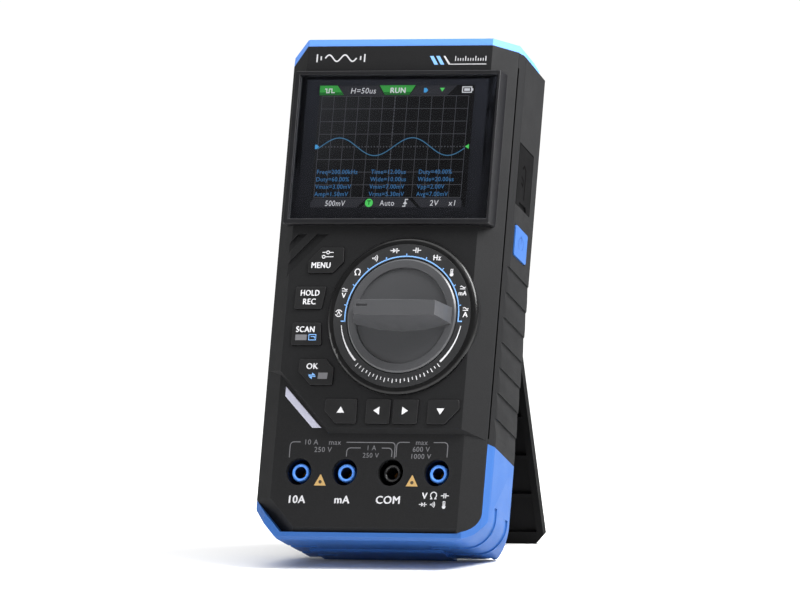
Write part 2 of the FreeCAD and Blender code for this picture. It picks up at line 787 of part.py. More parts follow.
def display_bezel():
    """The raised frame round the screen: a seat for the glass and a window for the panel."""
    body = new_body("display_bezel")
    rise = -size("bezel_rise")
    pad(body, "XZ", rise, size("bezel_rise") + "bezel_back",
        [rectangle("bezel_left", "bezel_right", "bezel_bottom", "bezel_top")])
    dress(body, "Fillet", KEY_ROUNDING, ALONG_Y)
    pocket(body, "XZ", rise, size("glass_thick") + 0.1,
           [rectangle("glass_left", "glass_right", "glass_bottom", "glass_top")])
    pocket(body, "XZ", rise, 20, [panel_outline(0.15)])
    keep(body, "display_bezel")


def panel_outline(margin):
    """The liquid-crystal panel's outline, grown by a margin."""
    half_width = size("lcd_width") / 2 + margin
    half_height = size("lcd_height") / 2 + margin
    middle, level = size("screen_middle"), size("screen_level")
    return rectangle(middle - half_width, middle + half_width,
                     level - half_height, level + half_height)


def display_glass():
    """The cover glass, a hair below the frame's front edge."""
    body = new_body("display_glass")
    margin = 0.05
    pad(body, "XZ", size(0.05) - size("bezel_rise"), size("glass_thick"),
        [rectangle(size("glass_left") + margin, size("glass_right") - margin,
                   size("glass_bottom") + margin, size("glass_top") - margin)])
    keep(body, "display_glass")


def lcd_module():
    """The panel that makes the picture, right behind the glass."""
    body = new_body("lcd_module")
    front = size(0.12) + size("glass_thick") - size("bezel_rise")
    pad(body, "XZ", front, size("lcd_thick"), [panel_outline(0)])
    keep(body, "lcd_module")


def backlight_frame():
    """The pressed tray behind the panel, with the light guide in it."""
    body = new_body("backlight_frame")
    front = size(0.12) + size("glass_thick") - size("bezel_rise") + size("lcd_thick")
    pad(body, "XZ", front, 1.6, [panel_outline(0)])
    keep(body, "backlight_frame")


def lcd_ribbon():
    """The flexible tail that folds from the panel down to its socket on the board."""
    body = new_body("lcd_ribbon")
    pad(body, "YZ", -7, 16, [[
        (3.04, 120.0), (3.04, 116.2), (4.75, 114.4), (4.75, 109.5), (7.2, 107.2),
        (8.95, 107.2), (8.95, 107.45), (7.3, 107.45), (5.0, 109.6), (5.0, 114.5),
        (3.29, 116.3), (3.29, 120.0)]])
    keep(body, "lcd_ribbon")


# ---------------------------------------------------------------- keys

def keypad():
    """The eight key caps, each with the flange that holds it behind the cover."""
    for name, corners in KEYS.items():
        cap = rounded(f"{name}_cap", corners, 0, -size("key_rise"), size("key_rise") + 3)
        flange = rounded(f"{name}_flange", corners, "key_flange", size("wall") + 0.05, 1.0)
        keep(fused(name, [cap, flange]), name)


def key_middle(corners):
    """The centre of a key's outline."""
    count = len(corners)
    return sum(x for x, z in corners) / count, sum(z for x, z in corners) / count


def keypad_mat():
    """The silicone sheet behind the keys, with a plunger under each one."""
    body = new_body("keypad_mat")
    web = [(-17.6, 39.2), (34.0, 39.2), (34.0, 50.2), (-12.8, 50.2), (-12.8, 103.4),
           (-31.8, 103.4), (-31.8, 57.2), (-17.6, 43.0)]
    pad(body, "XZ", 4.6, 0.8, [web])
    pad(body, "XZ", size("wall") + 1.05, 5.6, circles=[
        key_middle(corners) + (2.4,) for corners in KEYS.values()])
    keep(body, "keypad_mat")


def dome_contacts():
    """The eight snap domes that the plungers press."""
    domes = []
    for name, corners in KEYS.items():
        x, z = key_middle(corners)
        domes.append(rod(f"{name}_dome", "Y", (x, size("board_face") - 0.25, z), 0.25, 2.3))
    keep(group("dome_contacts", domes), "dome_contacts")


def indicator():
    """The light bar beside the keypad and the lamps on the board behind it."""
    body = new_body("indicator_lens")
    pad(body, "XZ", size("lower_face") - 0.15, 4.6, [LENS_OUTLINE])
    keep(body, "indicator_lens")
    lamps = [block(f"indicator_lamp_{index}", (x - 1.4, size("board_face") - 1.1, z - 0.7),
                   (x + 1.4, "board_face", z + 0.7))
             for index, (x, z) in enumerate(((-29.5, 48.8), (-23.0, 42.2)))]
    keep(group("indicator_lamps", lamps), "indicator_lamps")


# ---------------------------------------------------------------- range switch

def dial_ring():
    """The printed scale ring let into the boss round the knob."""
    body = new_body("dial_ring")
    front = -size("dial_rise")
    revolve(body, "Y", ("dial_x", "dial_z"), [
        ("well_radius", front), ("ring_radius", front), ("ring_radius", front + 0.88),
        ("well_radius", front + 0.88)])
    keep(body, "dial_ring")


def range_knob():
    """The knob: a dished disc with a tall grip bar across it and a hub behind."""
    body = new_body("range_knob")
    rim = -size("knob_rise")
    dish = rim + 0.9
    revolve(body, "Y", ("dial_x", "dial_z"), [
        (0, dish + 0.5), (10, dish + 0.35), (16.7, dish), (16.9, rim + 0.1), (19.5, rim),
        ("knob_radius", rim + 0.5), ("knob_radius", 0.6), ("hub_radius", 0.6),
        ("hub_radius", 3.9), (5.0, 3.9), (5.0, 6.2), (0, 6.2)])
    x, z = size("dial_x"), size("dial_z")
    foot = body_sketch(body, "XZ", dish + 1.2)
    draw(foot, [[
        (x - 18.3, z - 2.9), (x - 8, z - 4.9), (x, z - 5.4), (x + 8, z - 4.9),
        (x + 18.6, z - 2.9), (x + 18.6, z + 2.9), (x + 8, z + 4.9), (x, z + 5.4),
        (x - 8, z + 4.9), (x - 18.3, z + 2.9)]])
    crest = body_sketch(body, "XZ", -size("bar_rise"))
    draw(crest, [[
        (x - 12.4, z - 2.5), (x - 6, z - 2.7), (x, z - 2.75), (x + 8, z - 2.7),
        (x + 17.4, z - 2.5), (x + 17.4, z + 2.5), (x + 8, z + 2.7), (x, z + 2.75),
        (x - 6, z + 2.7), (x - 12.4, z + 2.5)]])
    bar = body.newObject("PartDesign::AdditiveLoft", "range_knob_bar")
    bar.Profile = foot
    bar.Sections = [crest]
    bar.Ruled = True
    doc.recompute()
    pocket(body, "XZ", -size("bar_rise"), 0.5,
           [rectangle(x - 11.6, x - 7.6, z + 0.35, z + 1.15)])
    pocket(body, "XZ", -1.6, 8, circles=[(x, z, 1.1)])
    keep(body, "range_knob")


def switch_rotor():
    """The rotor behind the cover, pressed on the hub, with detent notches round its rim."""
    body = new_body("switch_rotor")
    x, z = size("dial_x"), size("dial_z")
    pad(body, "XZ", 4.0, 2.2, circles=[(x, z, "rotor_radius"), (x, z, 5.0)])
    sketch = draw(body_sketch(body, "XZ", 3.0), [], [(x, z - size("rotor_radius"), 1.1)])
    notch = body.newObject("PartDesign::Pocket", "rotor_notch")
    notch.Profile = sketch
    notch.Length = 6
    doc.recompute()
    axis = body_sketch(body, "XZ", 0, (x, z))
    doc.recompute()
    ring = body.newObject("PartDesign::PolarPattern", "rotor_notches")
    ring.Originals = [notch]
    ring.Axis = (axis, ["N_Axis"])
    ring.Angle = 360
    ring.Occurrences = 18
    body.Tip = ring
    doc.recompute()
    keep(body, "switch_rotor")


def rotor_wipers():
    """Three pairs of spring contacts on the rotor, which slide on the board's tracks."""
    strips = []
    for index in range(3):
        body = new_body(f"wiper_{index}")
        x, z = size("dial_x"), size("dial_z")
        offset = 7 + 3.2 * index
        pad(body, "YZ", x - 6, 12, [[
            (6.2, z + offset), (6.5, z + offset), (8.93, z + offset + 0.9),
            (8.93, z + offset + 1.5), (8.6, z + offset + 1.5), (6.2, z + offset + 0.6)]])
        strips.append(body)
    keep(group("rotor_wipers", strips), "rotor_wipers")


def knob_screw():
    """The screw that draws the rotor and the knob together."""
    keep(screw("knob_screw", "dial_x", "dial_z", 6.2, 1.4, 2.6, 1.1, -1.5), "knob_screw")


def detent_spring():
    """The leaf spring whose nose clicks into the rotor's notches."""
    body = new_body("detent_spring")
    x, z = size("dial_x"), size("dial_z") - size("rotor_radius")
    pad(body, "XZ", 4.2, 1.8, [[
        (x - 11.5, z - 2.2), (x - 1.6, z - 1.5), (x, z + 0.9), (x + 1.6, z - 1.5),
        (x + 11.5, z - 2.2), (x + 11.5, z - 2.7), (x + 1.3, z - 2.0), (x, z + 0.1),
        (x - 1.3, z - 2.0), (x - 11.5, z - 2.7)]])
    keep(body, "detent_spring")


def screw(name, x, z, head_face, head_height, head_radius, shank_radius, tip):
    """A pan-head screw along Y: its head starts at head_face and its tip lies at tip."""
    body = new_body(name)
    face = size(head_face)
    revolve(body, "Y", (x, z), [
        (0, tip), (shank_radius, tip), (shank_radius, face), (head_radius, face),
        (head_radius, face + head_height * 0.6), (head_radius * 0.7, face + head_height),
        (0, face + head_height)])
    return body


# ---------------------------------------------------------------- board and its parts

def main_board():
    """The circuit board, screwed to bosses of the front cover."""
    body = new_body("main_board")
    half, low, high = size("board_half"), size("board_bottom"), size("board_top")
    pad(body, "XZ", "board_face", "board_thick", [[
        (-half, low + 4), (-half + 4, low), (half - 4, low), (half, low + 4),
        (half, high - 5), (half - 5, high), (-half + 8, high), (-half, high - 8)]])
    pocket(body, "XZ", "board_face", "board_thick",
           circles=[(x, z, 1.1) for x, z in BOARD_SCREWS])
    keep(body, "main_board")


def board_screws():
    """The four screws that hold the board."""
    screws = [screw(f"board_screw_{index}", x, z, board_back, 1.2, 1.8, 0.8, 5.4)
              for index, (x, z) in enumerate(BOARD_SCREWS)]
    keep(group("board_screws", screws), "board_screws")


def case_screws():
    """The four long screws that close the case from the back."""
    screws = [screw(f"case_screw_{index}", x, z, 26.0, 1.8, 2.3, 1.0, 5.0)
              for index, (x, z) in enumerate(CASE_SCREWS)]
    keep(group("case_screws", screws), "case_screws")


def board_part(name, plan, height, inset=0.0):
    """A component on the back of the board, drawn as its plan and its height."""
    left, right, low, high = plan
    body = new_body(name)
    pad(body, "XZ", board_back, height, [rectangle(left, right, low, high)])
    if inset:
        front_edge = board_back.number + height
        dress(body, "Chamfer", inset, ALONG_X, lambda middle: middle.y > front_edge - 0.01)
    return body


def board_parts():
    """The screened input stage, the chips, the buzzer and the two switches' bodies."""
    keep(board_part("shield_can", (-31, 2, 124, 158), 3.4, 0.5), "shield_can")
    keep(board_part("processor_chip", (10, 22, 134, 146), 1.2), "processor_chip")
    keep(board_part("converter_chip", (10, 18, 118, 126), 1.0), "converter_chip")
    keep(board_part("charger_chip", (25, 31, 118, 124), 1.0), "charger_chip")
    buzzer = new_body("buzzer")
    face = board_back
    revolve(buzzer, "Y", (-22, 96), [
        (1.0, face), (6.0, face), (6.0, face + 5.0), (1.0, face + 5.0)])
    keep(buzzer, "buzzer")
    usb = new_body("usb_socket")
    pad(usb, "YZ", 33.2, 8.0, [rectangle(12.4, 15.6, 125.6, 134.4)])
    pocket(usb, "YZ", 35.2, 6.5, [rectangle(12.7, 15.3, 125.9, 134.1)])
    pad(usb, "YZ", 34.6, 6.0, [rectangle(13.65, 14.35, 126.8, 133.2)])
    pad(usb, "YZ", 33.2, 3.0, [rectangle(board_back, 12.4, 126.0, 134.0)])
    keep(usb, "usb_socket")
    power = new_body("power_switch")
    pad(power, "YZ", 31.5, 5.5, [rectangle(board_back, 20.8, 104.0, 110.6)])
    pocket(power, "YZ", 35.4, 2.0, [rectangle(15.6, 19.0, 105.6, 109.0)])
    keep(power, "power_switch")
    plunger = new_body("power_plunger")
    pad(plunger, "YZ", 36.3, 2.45, [rectangle(15.65, 18.95, 105.65, 108.95)])
    keep(plunger, "power_plunger")


# ---------------------------------------------------------------- jacks and fuses

JACKS = ("amps", "milliamps", "common", "volts")


def jacks():
    """Four shrouded 4 mm jacks: a moulded insert with a brass sleeve in each."""
    for number, name in enumerate(JACKS):
        x, z = jack_x(number), size("jack_level")
        panel_back = size("lower_face") + size("wall")
        insert = new_body(f"jack_insert_{name}")
        revolve(insert, "Y", (x, z), [
            ("jack_bore", size("jack_front") + 0.5), (size("jack_bore") + 0.45, "jack_front"),
            (size("jack_tube") - 0.35, "jack_front"), ("jack_tube", size("jack_front") + 0.4),
            ("jack_tube", 16), ("jack_well", 16), ("jack_well", panel_back),
            (6.0, panel_back), (6.0, 18), (2.6, 18), (2.6, "contact_front"),
            ("jack_bore", "contact_front")])
        keep(insert, f"jack_insert_{name}")
        contact = new_body(f"jack_contact_{name}")
        revolve(contact, "Y", (x, z), [
            ("jack_bore", "contact_front"), (2.6, "contact_front"), (2.6, "jack_back"),
            (0, "jack_back"),
            (0, size("jack_back") - 0.8), ("jack_bore", size("jack_back") - 0.8)])
        pad(contact, "XZ", 18.4, 1.0, [rectangle(x - 1.5, x + 1.5, z + 2.3, 37.0)])
        pad(contact, "XZ", board_back, size(19.4) - board_back,
            [rectangle(x - 1.5, x + 1.5, 36.2, 37.0)])
        keep(contact, f"jack_contact_{name}")


def fuse(name, left, right, radius, level, depth):
    """A cartridge fuse along X: a ceramic tube between two end caps."""
    body = new_body(name)
    cap = 5.0
    revolve(body, "X", (depth, level), [
        (left, 0), (left, radius), (left + cap, radius), (left + cap, radius - 0.25),
        (right - cap, radius - 0.25), (right - cap, radius), (right, radius), (right, 0)])
    keep(body, name)


def fuses():
    """The two current-range fuses and the sprung clips that hold them."""
    level, depth = 43.6, 15.6
    fuse("fuse_amps", -31, 1, 3.17, level, depth)
    fuse("fuse_milliamps", 7, 27, 2.6, level, depth)
    clips = []
    for index, (x, radius) in enumerate(((-28.5, 3.17), (-1.5, 3.17), (9.5, 2.6), (24.5, 2.6))):
        outer = block(f"clip_outer_{index}", (x - 1.6, board_back, level - radius - 0.5),
                      (x + 1.6, depth + 1.5, level + radius + 0.5))
        inner = block(f"clip_inner_{index}", (x - 3, board_back + 0.5, level - radius - 0.02),
                      (x + 3, depth + 5, level + radius + 0.02))
        clips.append(without(f"fuse_clip_{index}", outer, [inner]))
    keep(group("fuse_clips", clips), "fuse_clips")


# ---------------------------------------------------------------- battery

def battery():
    """The cell, its holder on the board, its contacts and the door in the back."""
    y, z = size("cell_depth"), size("cell_level")
    radius, half = size("cell_radius"), size("cell_half")
    cell = new_body("battery_cell")
    revolve(cell, "X", (y, z), [
        (-half, 0), (-half, radius - 0.4), (-half + 0.4, radius), (half - 2.4, radius),
        (half - 1.8, radius - 0.5), (half - 1.4, radius), (half - 0.8, radius - 0.6),
        (half - 0.8, 3.4), (half, 3.2), (half, 0)])
    keep(cell, "battery_cell")

    holder = new_body("battery_holder")
    pad(holder, "XZ", board_back, 17.5,
        [rectangle(-half - 4.4, half + 4.4, z - radius - 1.6, z + radius + 1.6)])
    pocket(holder, "XZ", y - radius - 0.1, 20,
           [rectangle(-half - 3.2, half + 3.2, z - radius - 0.2, z + radius + 0.2)])
    keep(holder, "battery_holder")

    contacts = []
    for index, side in enumerate((-1, 1)):
        plate = block(f"battery_plate_{index}", (side * 35.6 - 0.15, 14.2, z - 6),
                      (side * 35.6 + 0.15, 27.5, z + 6))
        bump = rod(f"battery_bump_{index}", "X", (min(side * 35.45, side * 32.6), y, z), 2.85, 2.6)
        contacts.append(fused(f"battery_contact_{index}", [plate, bump]))
    keep(group("battery_contacts", contacts), "battery_contacts")

    door = new_body("battery_door")
    floor = size("recess_floor")
    pad(door, "XZ", floor - size("wall"), "wall", [rectangle(-33, 33, 43, 84)])
    pad(door, "XZ", floor - 3.2, 1.2, [rectangle(-31, 31, 41.6, 80)])
    pocket(door, "XZ", floor - 4, 6, circles=[(0, 81.4, 1.2)])
    pocket(door, "XZ", floor - 0.9, 3, circles=[(0, 81.4, 2.5)])
    keep(door, "battery_door")
    keep(screw("door_screw", 0, 81.4, size("recess_floor") - 0.9, 0.85, 2.3, 1.0, 29.0),
         "door_screw")


# ---------------------------------------------------------------- side controls

def usb_flap():
    """The soft cover over the charging socket, hinged along its upper edge."""
    body = new_body("usb_flap")
    corners = [(10.75, 141.84), (24.65, 139.88), (24.85, 118.55), (10.75, 120.33)]
    pad(body, "YZ", size("case_half") - 1.2, 1.2, [corners])
    pocket(body, "YZ", size("case_half") - 0.7, 3, [[
        (14, 117), (21.5, 117), (21.5, 119.8), (20.5, 120.9), (14.5, 121.5)]])
    keep(body, "usb_flap")


def power_key():
    """The power key in the right side, with the flange that holds it in."""
    cap = [(12.2, 113.17), (24.0, 111.53), (24.0, 101.25), (12.2, 102.6)]
    flange = [(11.6, 113.9), (24.6, 112.1), (24.6, 100.5), (11.6, 101.9)]
    body = new_body("power_key")
    pad(body, "YZ", 39.0, size("case_half") + 0.45 - 39.0, [cap])
    dress(body, "Fillet", 0.8, ALONG_X)
    inner_wall = size("seam_half") - size("wall") - 0.1
    pad(body, "YZ", 38.75, inner_wall - 0.05 - 38.75, [flange])
    keep(body, "power_key")


# ---------------------------------------------------------------- stand

def stand_length():
    """How far the stand reaches below its hinge so that its foot meets the ground."""
    swing = size("stand_angle") - size("lean_angle")
    lean = size("lean_angle")
    ground = -(size("pad_back") * sine(lean)) - size("pad_drop") * cosine(lean)
    hinge = size("hinge_level") * cosine(lean) - size("hinge_depth") * sine(lean)
    inner_face = size("hinge_depth") - stand_front()
    return (hinge - ground - inner_face * sine(swing)) / cosine(swing)


def stand_front():
    """The depth of the closed stand's inner face."""
    return size("case_depth") - size("stand_thick")


def kickstand():
    """The stand, drawn closed: a plate with a hinge barrel, ribs and pockets inside it."""
    body = new_body("kickstand")
    half = size("stand_half")
    foot = size("hinge_level") - stand_length()
    chamfer = 3.2
    pad(body, "XZ", stand_front(), "stand_thick", [[
        (-half + chamfer, foot), (half - chamfer, foot), (half, foot + chamfer),
        (half, "hinge_level"), (-half, "hinge_level"), (-half, foot + chamfer)]])
    pad(body, "YZ", -half, half * 2, circles=[("hinge_depth", "hinge_level", "hinge_radius")])
    pocket(body, "YZ", -half - 1, half * 2 + 2,
           circles=[("hinge_depth", "hinge_level", size("pin_radius") + 0.05)])
    columns = ((-32.6, -12.2), (-10.6, 10.6), (12.2, 32.6))
    rows = 6
    row_height = 13.2
    for left, right in columns:
        cells = []
        for row in range(rows):
            low = foot + 4.4 + row * (row_height + 1.2)
            cells.append(rectangle(left, right, low, low + row_height))
        pocket(body, "XZ", stand_front(), 1.5, cells)
    keep(body, "kickstand")


def stand_pins():
    """The two hinge pins of the stand, held in the rear cover."""
    pins = [rod(f"stand_pin_{index}", "X", (x, "hinge_depth", "hinge_level"), 11, "pin_radius")
            for index, x in enumerate((-37.1, 26.1))]
    keep(group("stand_pins", pins), "stand_pins")


# ---------------------------------------------------------------- assembly

def build_all():
    """Make every sub-part in the case's own frame."""
    for maker in (front_cover, rear_cover, top_bumper, bottom_bumper, display_bezel,
                  display_glass, lcd_module, backlight_frame, lcd_ribbon, keypad, keypad_mat,
                  dome_contacts, indicator, dial_ring, range_knob, switch_rotor, rotor_wipers,
                  knob_screw, detent_spring, main_board, board_screws, case_screws,
                  board_parts, jacks, fuses, battery, usb_flap, power_key, kickstand,
                  stand_pins):
        maker()
    doc.recompute()


def lean_back():
    """Open the stand, lean every sub-part back and set the origin under the middle."""
    opened = Placement(Vector(), Rotation(Vector(1, 0, 0), size("stand_angle").number),
                       Vector(0, size("hinge_depth").number, size("hinge_level").number))
    lean = Placement(Vector(), Rotation(Vector(1, 0, 0), -size("lean_angle").number))
    for name, item in sub_parts.items():
        item.Placement = lean * opened if name == "kickstand" else lean
    doc.recompute()
    shapes = [item.Shape for item in sub_parts.values()]
    bounds = Part.makeCompound(shapes).optimalBoundingBox(False, False)
    shift = Placement(Vector(-bounds.Center.x, -bounds.Center.y, -bounds.ZMin), Rotation())
    for item in sub_parts.values():
        item.Placement = shift * item.Placement
    doc.recompute()
    print("origin shift", shift.Base)


def check_and_write():
    """Refuse to write a failed document, then write one file for each sub-part."""
    for item in doc.Objects:
        if "Invalid" in item.State or "Error" in item.State:
            raise RuntimeError(f"{item.Label} failed: {item.State}")
    for name, item in sub_parts.items():
        if item.Shape.isNull() or not item.Shape.isValid():
            raise RuntimeError(f"{name} has no valid shape")
    os.makedirs("parts", exist_ok=True)
    for name, item in sub_parts.items():
        item.Shape.exportStep(os.path.join("parts", f"{name}.step"))
    print(f"{len(sub_parts)} sub-parts written")


build_all()
lean_back()
check_and_write()
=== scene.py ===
import json
import math

import bmesh
import bpy
from mathutils import Matrix, Vector

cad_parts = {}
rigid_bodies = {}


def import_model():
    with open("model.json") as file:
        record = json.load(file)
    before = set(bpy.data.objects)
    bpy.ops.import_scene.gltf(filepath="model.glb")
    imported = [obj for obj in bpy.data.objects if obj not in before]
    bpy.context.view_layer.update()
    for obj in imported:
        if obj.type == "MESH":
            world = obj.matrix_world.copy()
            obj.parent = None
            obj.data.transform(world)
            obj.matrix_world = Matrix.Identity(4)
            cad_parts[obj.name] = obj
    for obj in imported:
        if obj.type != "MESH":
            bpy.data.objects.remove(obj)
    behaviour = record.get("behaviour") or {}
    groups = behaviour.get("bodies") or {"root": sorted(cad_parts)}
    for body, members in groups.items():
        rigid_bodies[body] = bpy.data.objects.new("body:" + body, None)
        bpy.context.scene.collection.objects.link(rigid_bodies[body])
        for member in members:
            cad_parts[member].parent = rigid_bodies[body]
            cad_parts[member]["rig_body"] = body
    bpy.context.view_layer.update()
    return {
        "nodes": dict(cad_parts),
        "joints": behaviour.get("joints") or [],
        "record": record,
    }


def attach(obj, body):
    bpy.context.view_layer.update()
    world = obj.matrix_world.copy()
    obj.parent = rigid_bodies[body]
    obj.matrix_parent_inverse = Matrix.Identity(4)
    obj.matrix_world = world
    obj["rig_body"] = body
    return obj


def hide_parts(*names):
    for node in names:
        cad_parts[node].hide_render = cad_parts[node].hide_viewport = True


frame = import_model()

# The looks of a hand-held oscilloscope. The case's own frame is in millimetres: X right, Y from
# the keypad face to the back, Z up along the case. CASE carries it into the leaning case.

turn = next(joint for joint in frame["joints"] if joint["name"] == "range_turn")
DIAL = (9.46, 77.75)
lean = math.atan2(-turn["axis"][2], turn["axis"][1])
TILT = Matrix.Rotation(-lean, 4, "X") @ Matrix.Scale(0.001, 4)
CASE = Matrix.Translation(Vector(turn["pos_m"]) - TILT @ Vector((DIAL[0], 0, DIAL[1]))) @ TILT
CASE_BACK = CASE.inverted()
SCENE = bpy.context.scene

# depths of the printed surfaces, along the case's Y
PLATEAU_FACE = 0.0
JACK_PANEL_FACE = 1.85
RING_FACE = -1.5
KEY_FACE = -0.6
PICTURE = -1.43                # just behind the cover glass
SKIN = 0.03                    # how far ink stands off the surface it is printed on
# distances of the right side's surfaces, along the case's X
FLAP_FACE = 43.13
POWER_KEY_FACE = 43.58
GLASS_SHINE = 0.11             # share of the bare glass's reflection that its coating leaves


# ------------------------------------------------------------------ materials

def nodes_of(name):
    made = bpy.data.materials.new(name)
    made.use_nodes = True
    return made, made.node_tree.nodes, made.node_tree.links, made.node_tree.nodes["Principled BSDF"]


def noise(nodes, links, size_mm, detail=3.0, rough=0.5):
    """A noise texture whose cells are about size_mm across."""
    place = nodes.new("ShaderNodeTexCoord")
    texture = nodes.new("ShaderNodeTexNoise")
    texture.inputs["Scale"].default_value = 1000.0 / size_mm
    texture.inputs["Detail"].default_value = detail
    texture.inputs["Roughness"].default_value = rough
    links.new(place.outputs["Object"], texture.inputs["Vector"])
    return texture.outputs["Fac"]


def ramp(nodes, links, value, stops):
    """A colour ramp through the stops, each a position and a grey or a colour."""
    made = nodes.new("ShaderNodeValToRGB")
    while len(made.color_ramp.elements) < len(stops):
        made.color_ramp.elements.new(0.5)
    for element, (position, colour) in zip(made.color_ramp.elements, stops):
        element.position = position
        colour = (colour,) * 3 if isinstance(colour, (int, float)) else colour
        element.color = (*colour, 1.0)
    links.new(value, made.inputs["Fac"])
    return made.outputs["Color"]


def shade(colour, factor):
    return tuple(min(1.0, channel * factor) for channel in colour)


def moulded(name, colour, rough=0.5, grain=0.35, bump=0.25, mottle=0.10, wear=0.35,
            specular=0.5, metallic=0.0):
    """A moulded or machined surface: grain, patchy gloss and edges rubbed a little lighter."""
    made, nodes, links, shader = nodes_of(name)
    fine = noise(nodes, links, grain, 2.0, 0.6)
    patch = noise(nodes, links, 9.0, 4.0, 0.55)
    tone = ramp(nodes, links, fine, [(0.30, shade(colour, 1 - mottle)),
                                     (0.70, shade(colour, 1 + mottle))])
    if wear:
        plain = nodes.new("ShaderNodeNewGeometry")
        worn = nodes.new("ShaderNodeBevel")
        worn.samples = 4
        worn.inputs["Radius"].default_value = 0.0005
        apart = nodes.new("ShaderNodeVectorMath")
        apart.operation = "DOT_PRODUCT"
        links.new(plain.outputs["Normal"], apart.inputs[0])
        links.new(worn.outputs["Normal"], apart.inputs[1])
        mask = ramp(nodes, links, apart.outputs["Value"], [(0.80, wear), (0.985, 0.0)])
        mix = nodes.new("ShaderNodeMix")
        mix.data_type = "RGBA"
        links.new(mask, mix.inputs["Factor"])
        links.new(tone, mix.inputs["A"])
        mix.inputs["B"].default_value = (*shade(colour, 2.1), 1.0)
        tone = mix.outputs["Result"]
    links.new(tone, shader.inputs["Base Color"])
    gloss = ramp(nodes, links, patch, [(0.3, max(0.02, rough - 0.06)), (0.7, min(1, rough + 0.06))])
    links.new(gloss, shader.inputs["Roughness"])
    relief = nodes.new("ShaderNodeBump")
    relief.inputs["Strength"].default_value = bump
    relief.inputs["Distance"].default_value = grain * 0.0002
    links.new(fine, relief.inputs["Height"])
    links.new(relief.outputs["Normal"], shader.inputs["Normal"])
    shader.inputs["Specular IOR Level"].default_value = specular
    shader.inputs["Metallic"].default_value = metallic
    return made


def glowing(name, colour, strength):
    """A lit part of the display: a little uneven, as a backlight is."""
    made, nodes, links, shader = nodes_of(name)
    patch = noise(nodes, links, 5.0)
    tone = ramp(nodes, links, patch, [(0.3, shade(colour, 0.9)), (0.7, colour)])
    shader.inputs["Base Color"].default_value = (0.01, 0.01, 0.01, 1)
    shader.inputs["Roughness"].default_value = 0.6
    shader.inputs["Specular IOR Level"].default_value = 0.0
    links.new(tone, shader.inputs["Emission Color"])
    shader.inputs["Emission Strength"].default_value = strength
    return made


def printed(name, colour, rough=0.55):
    """A printed mark: nearly flat ink with a little speckle."""
    return moulded(name, colour, rough, grain=0.12, bump=0.05, mottle=0.06, wear=0.0,
                   specular=0.3)


